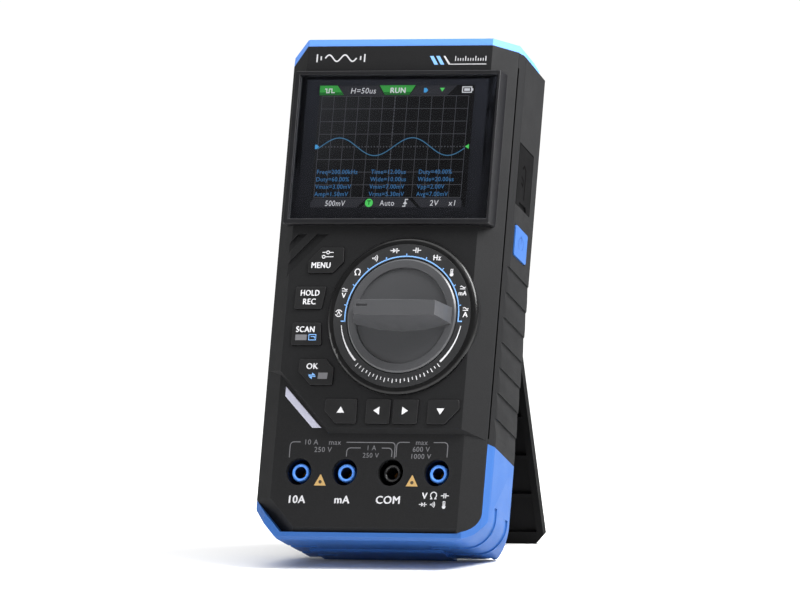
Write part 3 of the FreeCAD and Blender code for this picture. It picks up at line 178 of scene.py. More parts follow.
SHELL = (0.0108, 0.0109, 0.0115)
BLUE = (0.024, 0.096, 0.310)
look = {
    "shell": moulded("charcoal_shell", SHELL, 0.60, 0.32, 0.50, 0.18, 0.45, specular=0.12),
    "blue": moulded("soft_blue", BLUE, 0.48, 0.25, 0.18, 0.04, 0.2, specular=0.3),
    # the top band is a lighter copy of the blue: painted light for the light that falls on the top
    # of the case
    "top_band_painted_light": moulded("blue_top_band_with_painted_light", (0.105, 0.265, 0.73), 0.5, 0.25, 0.18, 0.04, 0.1,
                          specular=0.3),
    "bezel": moulded("bezel_black", (0.0062, 0.0062, 0.0075), 0.40, 0.2, 0.12, 0.08, 0.12,
                     specular=0.3),
    "key": moulded("key_black", (0.0085, 0.0085, 0.0090), 0.44, 0.2, 0.15, 0.10, 0.35,
                   specular=0.3),
    "knob": moulded("knob_grey", (0.060, 0.061, 0.065), 0.34, 0.7, 0.04, 0.02, 0.0),
    "ring": moulded("ring_grey", (0.0165, 0.0168, 0.018), 0.45, 0.2, 0.15, 0.08, 0.2,
                    specular=0.4),
    # near-black painted shade for the rounded shoulder of the dial's boss
    "boss": moulded("dial_shoulder_painted_shade", (0.0022, 0.0022, 0.0024), 0.30, 0.2, 0.10, 0.08, 0.0,
                    specular=0.35),
    # darker copies of the insert colours: painted shade on the deep surfaces of the jack wells
    "shade_painted_blue": moulded("insert_shade_painted_blue", (0.003, 0.010, 0.040), 0.5, 0.2, 0.10, 0.05, 0.0,
                         specular=0.15),
    "shade_painted_black": moulded("insert_shade_painted_black", (0.001, 0.001, 0.001), 0.5, 0.2, 0.10, 0.05,
                          0.0, specular=0.1),
    # near-black, used for a painted shadow in the right seam and for the port flap's marks
    "gasket": moulded("seam_shadow_and_flap_black", (0.0012, 0.0012, 0.0012), 0.8, wear=0, specular=0.02),
    "stand": moulded("stand_black", (0.0026, 0.0026, 0.0029), 0.6, 0.25, 0.3, 0.12, 0.6,
                     specular=0.08),
    "flap": moulded("flap_black", (0.0040, 0.0040, 0.0043), 0.75, 0.3, 0.4, 0.12, 0.6,
                    specular=0.05),
    "jack_blue": moulded("insert_blue", (0.085, 0.29, 0.88), 0.36, 0.2, 0.08, 0.03, 0.15),
    "jack_black": moulded("insert_black", (0.004, 0.004, 0.0045), 0.30, 0.2, 0.1, 0.1, 0.3),
    "brass": moulded("plated_brass", (0.75, 0.55, 0.25), 0.28, 0.4, 0.1, 0.06, 0.1, metallic=1.0),
    "steel": moulded("zinc_steel", (0.55, 0.55, 0.57), 0.34, 0.4, 0.12, 0.06, 0.1, metallic=1.0),
    "lens": moulded("frosted_lens", (0.46, 0.46, 0.56), 0.35, 0.15, 0.08, 0.03, 0.1),
    "white": printed("ink_white", (0.66, 0.66, 0.68)),
    "soft_white": printed("ink_soft_white", (0.52, 0.52, 0.54)),
    "grey_ink": printed("ink_grey", (0.14, 0.14, 0.15)),
    "blue_ink": printed("ink_blue", (0.20, 0.42, 0.80)),
    "navy_ink": printed("ink_navy", (0.016, 0.065, 0.23)),
    "amber": printed("ink_amber", (0.42, 0.27, 0.10)),
    "dark_ink": printed("ink_dark", (0.05, 0.035, 0.02)),
    "board": moulded("solder_mask", (0.02, 0.16, 0.07), 0.35, 0.8, 0.2, 0.2, 0.2),
    "chip": moulded("moulded_chip", (0.02, 0.02, 0.02), 0.5, 0.3, 0.2, 0.1, 0.2),
    "silicone": moulded("grey_silicone", (0.30, 0.31, 0.33), 0.55, 0.3, 0.1, 0.05, 0.1),
    "film": moulded("amber_film", (0.42, 0.20, 0.05), 0.3, 0.5, 0.05, 0.05, 0.1),
    "ceramic": moulded("fuse_ceramic", (0.75, 0.74, 0.70), 0.35, 0.5, 0.05, 0.04, 0.1),
    "sleeve": moulded("cell_sleeve", (0.06, 0.24, 0.20), 0.3, 0.8, 0.05, 0.05, 0.1),
    "screen_white": glowing("lit_white", (0.80, 0.80, 0.82), 0.85),
    "screen_green": glowing("lit_green", (0.05, 0.45, 0.07), 0.75),
    "screen_green_dark": glowing("lit_green_dark", (0.015, 0.20, 0.03), 0.7),
    "screen_bright_green": glowing("lit_bright_green", (0.10, 0.78, 0.14), 0.85),
    "screen_blue": glowing("lit_blue", (0.045, 0.19, 0.42), 0.85),
    "screen_wave": glowing("lit_wave", (0.06, 0.22, 0.40), 0.8),
    "screen_marker": glowing("lit_marker", (0.07, 0.38, 0.78), 0.9),
    "screen_grid": glowing("lit_grid", (0.085, 0.085, 0.095), 0.72),
    "screen_bar": glowing("lit_bar", (0.040, 0.040, 0.048), 0.55),
}


def glass_material():
    """Clear cover glass: what is behind shows through, and the front reflects the room."""
    made, nodes, links, shader = nodes_of("cover_glass")
    nodes.remove(shader)
    output = nodes["Material Output"]
    clear = nodes.new("ShaderNodeBsdfTransparent")
    clear.inputs["Color"].default_value = (0.93, 0.94, 0.96, 1)
    gloss = nodes.new("ShaderNodeBsdfGlossy")
    gloss.inputs["Color"].default_value = (0.9, 0.93, 1.0, 1)
    smear = ramp(nodes, links, noise(nodes, links, 18.0, 4.0), [(0.3, 0.10), (0.7, 0.15)])
    links.new(smear, gloss.inputs["Roughness"])
    facing = nodes.new("ShaderNodeFresnel")
    facing.inputs["IOR"].default_value = 1.5
    coated = nodes.new("ShaderNodeMath")
    coated.operation = "MULTIPLY"
    coated.inputs[1].default_value = GLASS_SHINE
    links.new(facing.outputs["Fac"], coated.inputs[0])
    mix = nodes.new("ShaderNodeMixShader")
    links.new(coated.outputs["Value"], mix.inputs["Fac"])
    links.new(clear.outputs["BSDF"], mix.inputs[1])
    links.new(gloss.outputs["BSDF"], mix.inputs[2])
    links.new(mix.outputs["Shader"], output.inputs["Surface"])
    return made


look["glass"] = glass_material()


# ------------------------------------------------------------------ pieces from CAD nodes

def settle(piece, body, material, stands_for=()):
    """Give a finished piece its material and its body, and hide the nodes that it stands for."""
    if material:
        piece.data.materials.clear()
        piece.data.materials.append(look[material])
    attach(piece, body)
    if stands_for:
        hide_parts(*stands_for)
    return piece


def link_mesh(name, mesh):
    piece = bpy.data.objects.new(name, mesh)
    SCENE.collection.objects.link(piece)
    return piece


def body_of(node):
    return frame["nodes"][node]["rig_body"]


def softened(node, material, edge, second=None, where=None):
    """A copy of a CAD node with its facets merged and its edges rounded, shown in its place.
    Faces whose corners (in the case's frame) all pass the test take the second material."""
    mesh = frame["nodes"][node].data.copy()
    if "custom_normal" in mesh.attributes:
        mesh.attributes.remove(mesh.attributes["custom_normal"])
    work = bmesh.new()
    work.from_mesh(mesh)
    bmesh.ops.remove_doubles(work, verts=work.verts, dist=2e-6)
    bmesh.ops.dissolve_limit(work, angle_limit=math.radians(0.1), verts=work.verts,
                             edges=work.edges)
    for crease in work.edges:
        sides = crease.link_faces
        if len(sides) == 2 and min(face.calc_area() for face in sides) > 5e-6:
            crease.smooth = crease.calc_face_angle(0) < math.radians(4)
    for face in work.faces:
        face.smooth = True
        face.material_index = int(bool(where) and all(where(CASE_BACK @ corner.co)
                                                      for corner in face.verts))
    mesh.materials.clear()
    for name in filter(None, (material, second)):
        mesh.materials.append(look[name])
    work.to_mesh(mesh)
    work.free()
    piece = link_mesh(node + "_shape", mesh)
    bevel = piece.modifiers.new("rounded", "BEVEL")
    bevel.width = edge * 0.001
    bevel.segments = 3
    bevel.limit_method = "ANGLE"
    bevel.angle_limit = math.radians(28)
    bevel.harden_normals = True
    bevel.use_clamp_overlap = True
    return settle(piece, body_of(node), None, [node])


def round_dial(low, high):
    """A test for points in front of the keypad face and between two radii of the dial."""
    def inside(point):
        reach = math.hypot(point.x - DIAL[0], point.z - DIAL[1])
        return point.y < 0.3 and low < reach < high
    return inside


def jack_shaded_depths(node):
    """A test for a jack insert's deep surfaces, which take a darker copy of its colour as painted
    shade: all but the front of its middle tube.
    """
    centre = next(m for m in frame["record"]["mounts"] if node.endswith("_" + m["name"][5:]))
    axis = CASE_BACK @ Vector(centre["pos_m"])
    def inside(point):
        reach = math.hypot(point.x - axis.x, point.z - axis.z)
        return reach > 3.6 or (reach < 2.1 and point.y > 3.8)
    return inside


for node, material, edge in (
        ("rear_cover", "shell", 0.30),
        # the top bumper takes the lighter blue, which is painted light
        ("top_bumper", "top_band_painted_light", 0.90), ("bottom_bumper", "blue", 0.30),
        ("display_bezel", "bezel", 0.40), ("indicator_lens", "lens", 0.20),
        ("dial_ring", "ring", 0.10), ("range_knob", "knob", 0.25),
        ("power_key", "blue", 0.25), ("usb_flap", "flap", 0.22),
        ("kickstand", "stand", 0.30), ("battery_door", "shell", 0.20)):
    softened(node, material, edge)
# faces of the front cover between radii 25 and 28.2 of the dial take the near-black copy: painted
# shade on the boss's shoulder
softened("front_cover", "shell", 0.35, second="boss", where=round_dial(25.0, 28.2))
for node in frame["nodes"]:
    if node.startswith("key_"):
        softened(node, "key", 0.30)
    if node.startswith("jack_insert_"):
        tone = "black" if node.endswith("common") else "blue"
        # the deep surfaces of each insert take the darker copy, which is painted shade
        softened(node, "jack_" + tone, 0.20, second="shade_painted_" + tone, where=jack_shaded_depths(node))

KEPT = {
    "steel": ["case_screws", "board_screws", "door_screw", "stand_pins", "dome_contacts",
              "detent_spring", "shield_can", "usb_socket", "battery_contacts", "knob_screw",
              "backlight_frame"],
    "brass": ["rotor_wipers", "fuse_clips", "jack_contact_amps", "jack_contact_milliamps",
              "jack_contact_common", "jack_contact_volts"],
    "chip": ["processor_chip", "converter_chip", "charger_chip", "buzzer", "power_switch",
             "battery_holder", "switch_rotor", "lcd_module"],
    "silicone": ["keypad_mat", "power_plunger"],
    "board": ["main_board"],
    "film": ["lcd_ribbon"],
    "ceramic": ["fuse_amps", "fuse_milliamps"],
    "sleeve": ["battery_cell"],
    "lens": ["indicator_lamps"],
}
for material, names in KEPT.items():
    for node in names:
        mesh = frame["nodes"][node].data
        mesh.materials.clear()
        mesh.materials.append(look[material])


# ------------------------------------------------------------------ ink, drawn on a surface

def cap_height():
    """The height of a capital in a text of size 1."""
    curve = bpy.data.curves.new("measure", "FONT")
    curve.body = "H"
    probe = bpy.data.objects.new("measure", curve)
    SCENE.collection.objects.link(probe)
    bpy.context.view_layer.update()
    height = probe.dimensions.y
    bpy.data.objects.remove(probe)
    return height


CAPITAL = cap_height()


class Ink:
    """Flat marks in one material. Points are (x, z) in the case's frame, at a depth y, or,
    sideways, (y, z) on its right side, at a distance x."""

    def __init__(self, name, body, material, depth, sideways=False):
        self.name, self.body, self.material, self.depth = name, body, material, depth
        self.sideways = sideways
        self.mesh = bmesh.new()

    def face(self, points):
        if self.sideways:
            places = [(self.depth, y, z) for y, z in points]
        else:
            places = [(x, self.depth, z) for x, z in points]
        made = self.mesh.faces.new([self.mesh.verts.new(place) for place in places])
        made.normal_update()
        if (made.normal.x < 0) if self.sideways else (made.normal.y > 0):
            made.normal_flip()

    def stroke(self, points, width, closed=False, end_width=None):
        """A ribbon of that width along the points, mitred at the corners."""
        points = [Vector(point) for point in points]
        count = len(points)
        sides = []
        for index, point in enumerate(points):
            before = points[index - 1] if closed or index else None
            after = points[(index + 1) % count] if closed or index < count - 1 else None
            steps = [(point - before).normalized()] if before is not None else []
            if after is not None:
                steps.append((after - point).normalized())
            normals = [Vector((-step.y, step.x)) for step in steps]
            mean = sum(normals, Vector((0, 0))).normalized()
            share = index / (count - 1)
            wide = width + (end_width - width) * share if end_width else width
            reach = wide / 2 / max(0.4, mean.dot(normals[0]))
            sides.append((point + mean * reach, point - mean * reach))
        for index in range(count if closed else count - 1):
            first, second = sides[index], sides[(index + 1) % count]
            self.face([first[0], first[1], second[1], second[0]])

    def arc(self, centre, radius, start, end, width, end_width=None):
        """A circular ribbon between two angles in degrees."""
        steps = max(4, int(abs(end - start) / 3))
        angles = [math.radians(start + (end - start) * i / steps) for i in range(steps + 1)]
        self.stroke([(centre[0] + radius * math.cos(a), centre[1] + radius * math.sin(a))
                     for a in angles], width, end_width=end_width)

    def ring(self, centre, radius, width):
        points = [(centre[0] + radius * math.cos(i * math.pi / 16),
                   centre[1] + radius * math.sin(i * math.pi / 16)) for i in range(32)]
        self.stroke(points, width, closed=True)

    def disc(self, centre, radius):
        self.face([(centre[0] + radius * math.cos(i * math.pi / 12),
                    centre[1] + radius * math.sin(i * math.pi / 12)) for i in range(24)])

    def text(self, words, x, z, height, bold=0.0, slant=0.0, align="LEFT", narrow=1.0):
        """Lettering whose capitals are that high, standing on the line z."""
        curve = bpy.data.curves.new("lettering", "FONT")
        curve.body = words
        curve.size = height / CAPITAL
        curve.shear = slant
        curve.align_x = align
        curve.space_character = 1.08
        curve.resolution_u = 3
        probe = bpy.data.objects.new("lettering", curve)
        SCENE.collection.objects.link(probe)
        bpy.context.view_layer.update()
        mesh = bpy.data.meshes.new_from_object(probe)
        for step, side in enumerate((-bold, bold) if bold else (0.0,)):
            copy = mesh.copy()
            copy.transform(Matrix(((narrow, 0, 0, x + side), (0, 0, 0, self.depth - 0.004 * step),
                                   (0, 1, 0, z + side / 2), (0, 0, 0, 1))))
            self.mesh.from_mesh(copy)
            bpy.data.meshes.remove(copy)
        bpy.data.objects.remove(probe)
        bpy.data.meshes.remove(mesh)

    def done(self, slot):
        """Turn the marks into a piece that rides on its body."""
        bmesh.ops.triangulate(self.mesh, faces=self.mesh.faces)
        mesh = bpy.data.meshes.new(self.name)
        self.mesh.transform(CASE)
        self.mesh.to_mesh(mesh)
        self.mesh.free()
        return settle(link_mesh(self.name, mesh), self.body, self.material)


# ------------------------------------------------------------------ display

ACTIVE = (-28.0, 29.5, 116.0, 159.3)
GRID = (-26.9, 27.5, 119.5, 155.5)


def wave(x):
    """Height of the trace above the grid's middle line at x."""
    return 3.15 * math.sin(2 * math.pi * (x + 25.95) / 27.1)


def display_picture():
    left, right, low, high = GRID
    columns, rows = 12, 8
    middle = (low + high) / 2
    grid = Ink("screen_grid", "case", "screen_grid", PICTURE)
    for index in range(columns + 1):
        x = left + (right - left) * index / columns
        grid.stroke([(x, low), (x, high)], 0.20)
    for index in range(rows + 1):
        z = low + (high - low) * index / rows
        if index != rows // 2:
            grid.stroke([(left, z), (right, z)], 0.20)
    for index in range(48):
        x = left + (right - left) * (index + 0.5) / 48
        grid.disc((x, middle), 0.27)
    for index in range(32):
        grid.disc((0.3, low + (high - low) * (index + 0.5) / 32), 0.27)
    grid.done("panel")

    bars = Ink("screen_bars", "case", "screen_bar", PICTURE + 0.01)
    bars.face([(-18.9, 155.8), (-21.1, 159.2), (-6.3, 159.2), (-3.9, 155.8)])
    bars.face([(5.6, 155.8), (8.0, 159.2), (22.9, 159.2), (19.6, 155.8)])
    bars.face([(-28.0, 116.0), (-28.0, 117.6), (-27.0, 119.2), (-7.2, 119.2), (-10.6, 116.0)])
    bars.face([(-9.0, 116.0), (-5.8, 119.2), (8.2, 119.2), (11.6, 116.0)])
    bars.face([(13.0, 116.0), (9.8, 119.2), (27.4, 119.2), (28.0, 118.0), (28.0, 116.0)])
    bars.done("panel")

    tags = Ink("screen_tags", "case", "screen_green", PICTURE)
    tags.face([(-28.0, 156.0), (-28.0, 159.3), (-21.5, 159.3), (-19.0, 156.0)])
    tags.face([(-5.8, 159.3), (7.5, 159.3), (5.4, 156.0), (-3.7, 156.0)])
    tags.done("panel")
    shades = Ink("screen_tag_shades", "case", "screen_green_dark", PICTURE - 0.005)
    shades.face([(-28.0, 155.9), (-28.0, 156.9), (-19.6, 156.9), (-18.9, 155.9)])
    shades.face([(-4.3, 156.9), (6.0, 156.9), (5.4, 155.9), (-3.7, 155.9)])
    shades.done("panel")

    white = Ink("screen_white", "case", "screen_white", PICTURE - 0.01)
    white.stroke([(-26.1, 158.1), (-25.4, 158.1), (-25.4, 156.8), (-24.5, 156.8),
                  (-24.5, 158.1), (-23.5, 158.1), (-23.5, 156.8), (-22.4, 156.8)], 0.34)
    white.text("H=50us", -16.6, 156.45, 1.95, 0.0, 0.15, narrow=0.98)
    white.text("RUN", -1.85, 156.6, 1.85, 0.08)
    white.stroke([(25.0, 156.7), (25.0, 158.6), (28.3, 158.6), (28.3, 156.7)], 0.36,
                 closed=True)
    white.face([(28.5, 157.2), (28.9, 157.2), (28.9, 158.1), (28.5, 158.1)])
    white.face([(25.6, 157.2), (27.7, 157.2), (27.7, 158.1), (25.6, 158.1)])
    white.text("500mV", -22.6, 116.5, 1.9, 0.0, 0.1, narrow=0.88)
    white.text("Auto", -2.2, 116.6, 1.9, 0.0, 0.0, narrow=0.9)
    white.stroke([(6.2, 116.4), (7.2, 116.4), (7.2, 118.8), (8.2, 118.8)], 0.34)
    white.face([(6.4, 117.2), (8.0, 117.2), (7.2, 118.3)])
    white.text("2V", 16.2, 116.6, 1.9, 0.0, 0.1)
    white.text("x1", 23.2, 116.6, 1.9, 0.0, 0.1)
    white.done("panel")

    trace = Ink("screen_trace", "case", "screen_wave", PICTURE - 0.01)
    count = 96
    trace.stroke([(left + (right - left) * i / count,
                   middle + wave(left + (right - left) * i / count))
                  for i in range(count + 1)], 0.30)
    trace.done("panel")

    marks = Ink("screen_markers", "case", "screen_marker", PICTURE - 0.015)
    marks.face([(-28.0, middle - 0.75), (-28.0, middle + 0.75), (-27.3, middle + 0.75),
                (-26.5, middle), (-27.3, middle - 0.75)])
    marks.face([(10.7, 156.7), (10.7, 158.3), (11.6, 158.3), (12.3, 157.5), (11.6, 156.7)])
    marks.done("panel")
    green = Ink("screen_green_marks", "case", "screen_bright_green", PICTURE - 0.015)
    green.face([(29.0, middle - 0.85), (29.0, middle + 0.85), (27.6, middle)])
    green.face([(16.6, 158.3), (18.4, 158.3), (17.5, 157.0)])
    green.disc((-6.2, 117.6), 1.45)
    green.done("panel")
    letter = Ink("screen_trigger", "case", "screen_green_dark", PICTURE - 0.02)
    letter.stroke([(-6.9, 118.3), (-5.5, 118.3)], 0.4)
    letter.stroke([(-6.2, 118.3), (-6.2, 116.9)], 0.4)
    letter.done("panel")

    blue = Ink("screen_readouts", "case", "screen_blue", PICTURE - 0.012)
    table = (("Freq=200.00kHz", "Time=12.00us", "Duty=40.00%"),
             ("Duty=60.00%", "Wide=10.00us", "Wide=20.00us"),
             ("Vmax=3.00mV", "Vmin=7.00mV", "Vpp=2.00V"),
             ("Amp=1.50mV", "Vrms=5.30mV", "Avg=7.00mV"))
    for row, line in enumerate(table):
        for column, words in enumerate(line):
            blue.text(words, (-26.6, -6.4, 11.2)[column] - 0.05 * row,
                      127.85 - 2.62 * row, 1.5, 0.01, narrow=0.95)
    blue.done("panel")


def display_panel():
    """The dark face of the panel: black, with a painted sheen lighter towards the upper left, and a
    bluish border with painted light, lighter at the top.
    """
    made, nodes, links, shader = nodes_of("panel_face_painted_light")
    place = nodes.new("ShaderNodeTexCoord")
    apart = nodes.new("ShaderNodeSeparateXYZ")
    links.new(place.outputs["Object"], apart.inputs["Vector"])
    # the border grows lighter towards the top: painted light
    height = nodes.new("ShaderNodeMapRange")
    height.inputs["From Min"].default_value = (CASE @ Vector((0, 0, 112))).z
    height.inputs["From Max"].default_value = (CASE @ Vector((0, 0, 163))).z
    links.new(apart.outputs["Z"], height.inputs["Value"])
    tone = ramp(nodes, links, height.outputs["Result"],
                [(0.0, (0.0030, 0.0030, 0.0042)), (0.5, (0.0055, 0.0058, 0.0080)),
                 (1.0, (0.0105, 0.0112, 0.0150))])
    links.new(tone, shader.inputs["Base Color"])
    grain = noise(nodes, links, 0.3)
    links.new(ramp(nodes, links, grain, [(0.3, 0.5), (0.7, 0.62)]), shader.inputs["Roughness"])
    shader.inputs["Specular IOR Level"].default_value = 0.15
    look["panel_face_painted_light"] = made

    black, nodes, links, shader = nodes_of("active_area_painted_sheen")
    grain = noise(nodes, links, 0.3)
    # the active area grows lighter towards the upper left: painted sheen
    place = nodes.new("ShaderNodeTexCoord")
    along = nodes.new("ShaderNodeVectorMath")
    along.operation = "DOT_PRODUCT"
    along.inputs[1].default_value = (-4.5, 0, 4.5)
    links.new(place.outputs["Object"], along.inputs[0])
    links.new(ramp(nodes, links, along.outputs["Value"], [
        (0.50, (0.0003, 0.0003, 0.0003)), (0.68, (0.0035, 0.0035, 0.0036)),
        (0.86, (0.0170, 0.0170, 0.0175))]), shader.inputs["Base Color"])
    links.new(ramp(nodes, links, grain, [(0.3, 0.55), (0.7, 0.65)]), shader.inputs["Roughness"])
    shader.inputs["Specular IOR Level"].default_value = 0.1
    look["active_area_painted_sheen"] = black

    border = Ink("panel_border", "case", "panel_face_painted_light", PICTURE + 0.03)
    border.face([(-35.3, 112.0), (37.7, 112.0), (37.7, 162.8), (-35.3, 162.8)])
    border.done("panel")
    active = Ink("panel_active", "case", "active_area_painted_sheen", PICTURE + 0.02)
    left, right, low, high = ACTIVE
    active.face([(left, low), (right, low), (right, high), (left, high)])
    active.done("panel")


display_panel()
display_picture()
softened("display_glass", "glass", 0.12)


# ------------------------------------------------------------------ printed marks

def range_ring():
    """The scale round the knob: blue arc, ticks, unit symbols and the white sweeps."""
    x, z = DIAL
    depth = RING_FACE - SKIN
    inner = 20.95
    blue = Ink("scale_arc", "case", "blue_ink", depth)
    blue.arc(DIAL, inner, -5.2, 185.4, 0.42)
    for index in range(9):
        angle = math.radians(10 + 20 * index)
        blue.stroke([(x + r * math.cos(angle), z + r * math.sin(angle)) for r in (inner, 21.9)],
                    0.34)
    for angle in (-5.2, 185.4):
        a = math.radians(angle)
        side = 1 if angle < 90 else -1
        end = (x + inner * math.cos(a), z + inner * math.sin(a))
        blue.stroke([(end[0] - side * 0.2, end[1]), (end[0] + side * 1.5, end[1])], 0.40)
    blue.done("ring_grey")

    white = Ink("scale_symbols", "case", "white", depth)
    white.arc(DIAL, 22.3, 189, 225, 0.26, 0.72)
    white.arc(DIAL, 22.3, -9, -46, 0.26, 0.72)
    for index in range(23):
        angle = math.radians(229 + index * (82 / 22))
        reach = 23.7 if index % 2 == 0 else 23.2
        white.stroke([(x + r * math.cos(angle), z + r * math.sin(angle))
                      for r in (22.2, reach)], 0.30)

    def at(degrees, radius=23.35):
        angle = math.radians(degrees)
        return x + radius * math.cos(angle), z + radius * math.sin(angle)

    cx, cz = at(178)
    white.arc((cx, cz), 1.15, 20, 160, 0.3)
    white.arc((cx, cz), 1.15, 200, 340, 0.3)
    white.stroke([(cx - 0.55, cz - 0.5), (cx, cz + 0.7), (cx + 0.55, cz - 0.5)], 0.3)
    cx, cz = at(160)
    waves(white, cx + 0.1, cz + 1.0, 1.0)
    white.text("V", cx - 0.85, cz - 1.75, 1.75, 0.07)
    cx, cz = at(139)
    ohm(white, cx, cz, 0.98)
    cx, cz = at(120)
    sound(white, cx + 0.2, cz, 1.15)
    cx, cz = at(101)
    diode(white, cx, cz, 0.92)
    cx, cz = at(81)
    capacitor(white, cx, cz, 0.92)
    cx, cz = at(61)
    white.text("Hz", cx - 1.5, cz - 0.85, 1.85, 0.07, narrow=0.9)
    cx, cz = at(41)
    thermometer(white, cx - 0.5, cz, 1.05)
    cx, cz = at(22)
    waves(white, cx, cz + 1.1, 1.0)
    white.text("mA", cx - 1.45, cz - 1.5, 1.55, 0.07, narrow=0.88)
    cx, cz = at(3)
    waves(white, cx, cz + 1.1, 1.0)
    white.text("A", cx - 0.85, cz - 1.6, 1.8, 0.07)
    white.done("ring_grey")


def waves(ink, x, z, size):
    """The mark for either kind of current: a wave over a bar."""
    points = [(x + (i / 6 - 1) * size, z + 0.35 * size + 0.28 * size * math.sin(i * math.pi / 6))
              for i in range(13)]
    ink.stroke(points, 0.28)
    ink.stroke([(x - size, z - 0.35 * size), (x + size, z - 0.35 * size)], 0.28)


def ohm(ink, x, z, size):
    points = [(x + size * math.cos(math.radians(a)), z + 0.15 * size
               + size * math.sin(math.radians(a))) for a in range(-50, 231, 20)]
    points = [(x + size * 1.05, z - size * 0.95), (x + size * 0.5, z - size * 0.95)] + points
    points += [(x - size * 0.5, z - size * 0.95), (x - size * 1.05, z - size * 0.95)]
    ink.stroke(points, 0.36)


def sound(ink, x, z, size):
    ink.disc((x - 0.8 * size, z), 0.24 * size)
    for radius in (0.5, 1.0, 1.5):
        ink.arc((x - 0.8 * size, z), radius * size, -42, 42, 0.26)


def diode(ink, x, z, size):
    ink.stroke([(x - 1.8 * size, z), (x + 1.8 * size, z)], 0.28)
    ink.face([(x - 0.8 * size, z - 0.9 * size), (x + 0.6 * size, z),
              (x - 0.8 * size, z + 0.9 * size)])
    ink.stroke([(x + 0.75 * size, z - 0.95 * size), (x + 0.75 * size, z + 0.95 * size)], 0.34)


def capacitor(ink, x, z, size):
    for side in (-1, 1):
        ink.stroke([(x + side * 0.38 * size, z - size), (x + side * 0.38 * size, z + size)], 0.34)
        ink.stroke([(x + side * 0.38 * size, z), (x + side * 1.7 * size, z)], 0.30)


def thermometer(ink, x, z, size):
    ink.disc((x, z - 0.75 * size), 0.62 * size)
    ink.stroke([(x - 0.32 * size, z - 0.6 * size), (x - 0.32 * size, z + size),
                (x + 0.32 * size, z + size), (x + 0.32 * size, z - 0.6 * size)], 0.26)
    ink.stroke([(x, z - 0.7 * size), (x, z + 0.4 * size)], 0.22)


def front_marks():
    """What is printed on the keypad plateau and the jack panel."""
    white = Ink("marks_plateau_white", "case", "soft_white", PLATEAU_FACE - SKIN)
    # a plain wave between two bars stands at the upper left
    left, right, level = -30.6, -12.9, 169.45
    points = [(left + 3 + (right - left - 6) * i / 48,
               level + 1.15 * math.sin(i / 48 * 4 * math.pi)) for i in range(49)]
    white.stroke(points, 0.48)
    white.stroke([(left, level - 1.4), (left, level + 1.4)], 0.5)
    white.stroke([(left + 1.5, level - 0.7), (left + 1.5, level + 0.7)], 0.5)
    white.stroke([(right, level - 1.4), (right, level + 1.4)], 0.5)
    white.stroke([(right - 1.5, level - 0.7), (right - 1.5, level + 0.7)], 0.5)
    white.face([(16.3, 170.0), (17.0, 170.0), (19.0, 167.2), (32.4, 167.2), (32.4, 166.9),
                (18.5, 166.9)])
    for index in range(13):
        x = 20.9 + index * 0.93
        white.stroke([(x, 168.2), (x, 169.9 if index % 4 == 0 else 169.2)], 0.30)
    white.done("shell_black")
    bars = Ink("marks_blue_bars", "case", "blue_ink", PLATEAU_FACE - SKIN)
    for index in range(2):
        x = 11.3 + index * 2.3
        bars.face([(x, 170.0), (x + 1.35, 170.0), (x + 3.3, 166.9), (x + 1.95, 166.9)])
    bars.done("shell_black")

    depth = JACK_PANEL_FACE - SKIN
    grey = Ink("marks_brackets", "case", "grey_ink", depth)
    bracket(grey, -29.05, 9.75, 28.4, 33.9, (-25.3, -8.3))
    bracket(grey, -7.95, 8.75, 28.9, 31.95, (-2.9, 4.9))
    bracket(grey, 10.35, 29.1, 28.9, 34.05, (15.0, 23.8))
    grey.text("10 A", -21.4, 33.0, 1.75, 0.0, align="CENTER")
    grey.text("max", -12.6, 33.0, 1.75, 0.0, align="CENTER")
    grey.text("250 V", -16.8, 30.4, 1.75, 0.0, align="CENTER")
    grey.text("1 A", 1.0, 31.2, 1.6, 0.0, align="CENTER")
    grey.text("250 V", 1.0, 28.6, 1.6, 0.0, align="CENTER")
    grey.text("max", 19.4, 33.2, 1.7, 0.0, align="CENTER")
    grey.text("600 V", 19.4, 30.8, 1.7, 0.0, align="CENTER")
    grey.text("1000 V", 19.4, 28.3, 1.7, 0.0, align="CENTER")
    grey.done("shell_black")
    words = Ink("marks_jacks", "case", "soft_white", depth)
    words.text("10A", -25.2, 12.45, 2.6, 0.11, align="CENTER")
    words.text("mA", -8.3, 12.5, 2.6, 0.11, align="CENTER")
    words.text("COM", 8.75, 12.55, 2.6, 0.11, align="CENTER")
    words.text("V", 22.1, 14.35, 2.15, 0.09, align="CENTER")
    ohm(words, 25.35, 15.45, 1.1)
    capacitor(words, 29.5, 15.5, 0.85)
    diode(words, 21.7, 12.4, 0.8)
    sound(words, 25.3, 12.4, 1.0)
    thermometer(words, 29.4, 12.4, 1.05)
    words.done("shell_black")
    amber = Ink("marks_amber", "case", "amber", depth)
    for x in (-16.85, 17.0):
        amber.face([(x - 2.2, 18.65), (x + 2.2, 18.65), (x + 0.15, 22.5), (x - 0.15, 22.5)])
    amber.done("shell_black")
    hearts = Ink("marks_amber_dots", "case", "dark_ink", depth - 0.01)
    for x in (-16.85, 17.0):
        hearts.disc((x, 19.95), 0.62)
    hearts.done("shell_black")


def bracket(ink, left, right, low, high, gap):
    """A line that links two jacks, with rounded corners and a gap for its figures."""
    def corner(x, side):
        return [(x - side * (1.3 - 1.3 * math.cos(a)), high - 1.3 + 1.3 * math.sin(a))
                for a in (i * math.pi / 8 for i in range(5))]
    start = [(left, low)] + corner(left, -1)
    ink.stroke(start + [(gap[0], high)], 0.28)
    end = [(right, low)] + corner(right, 1)
    ink.stroke(end + [(gap[1], high)], 0.28)


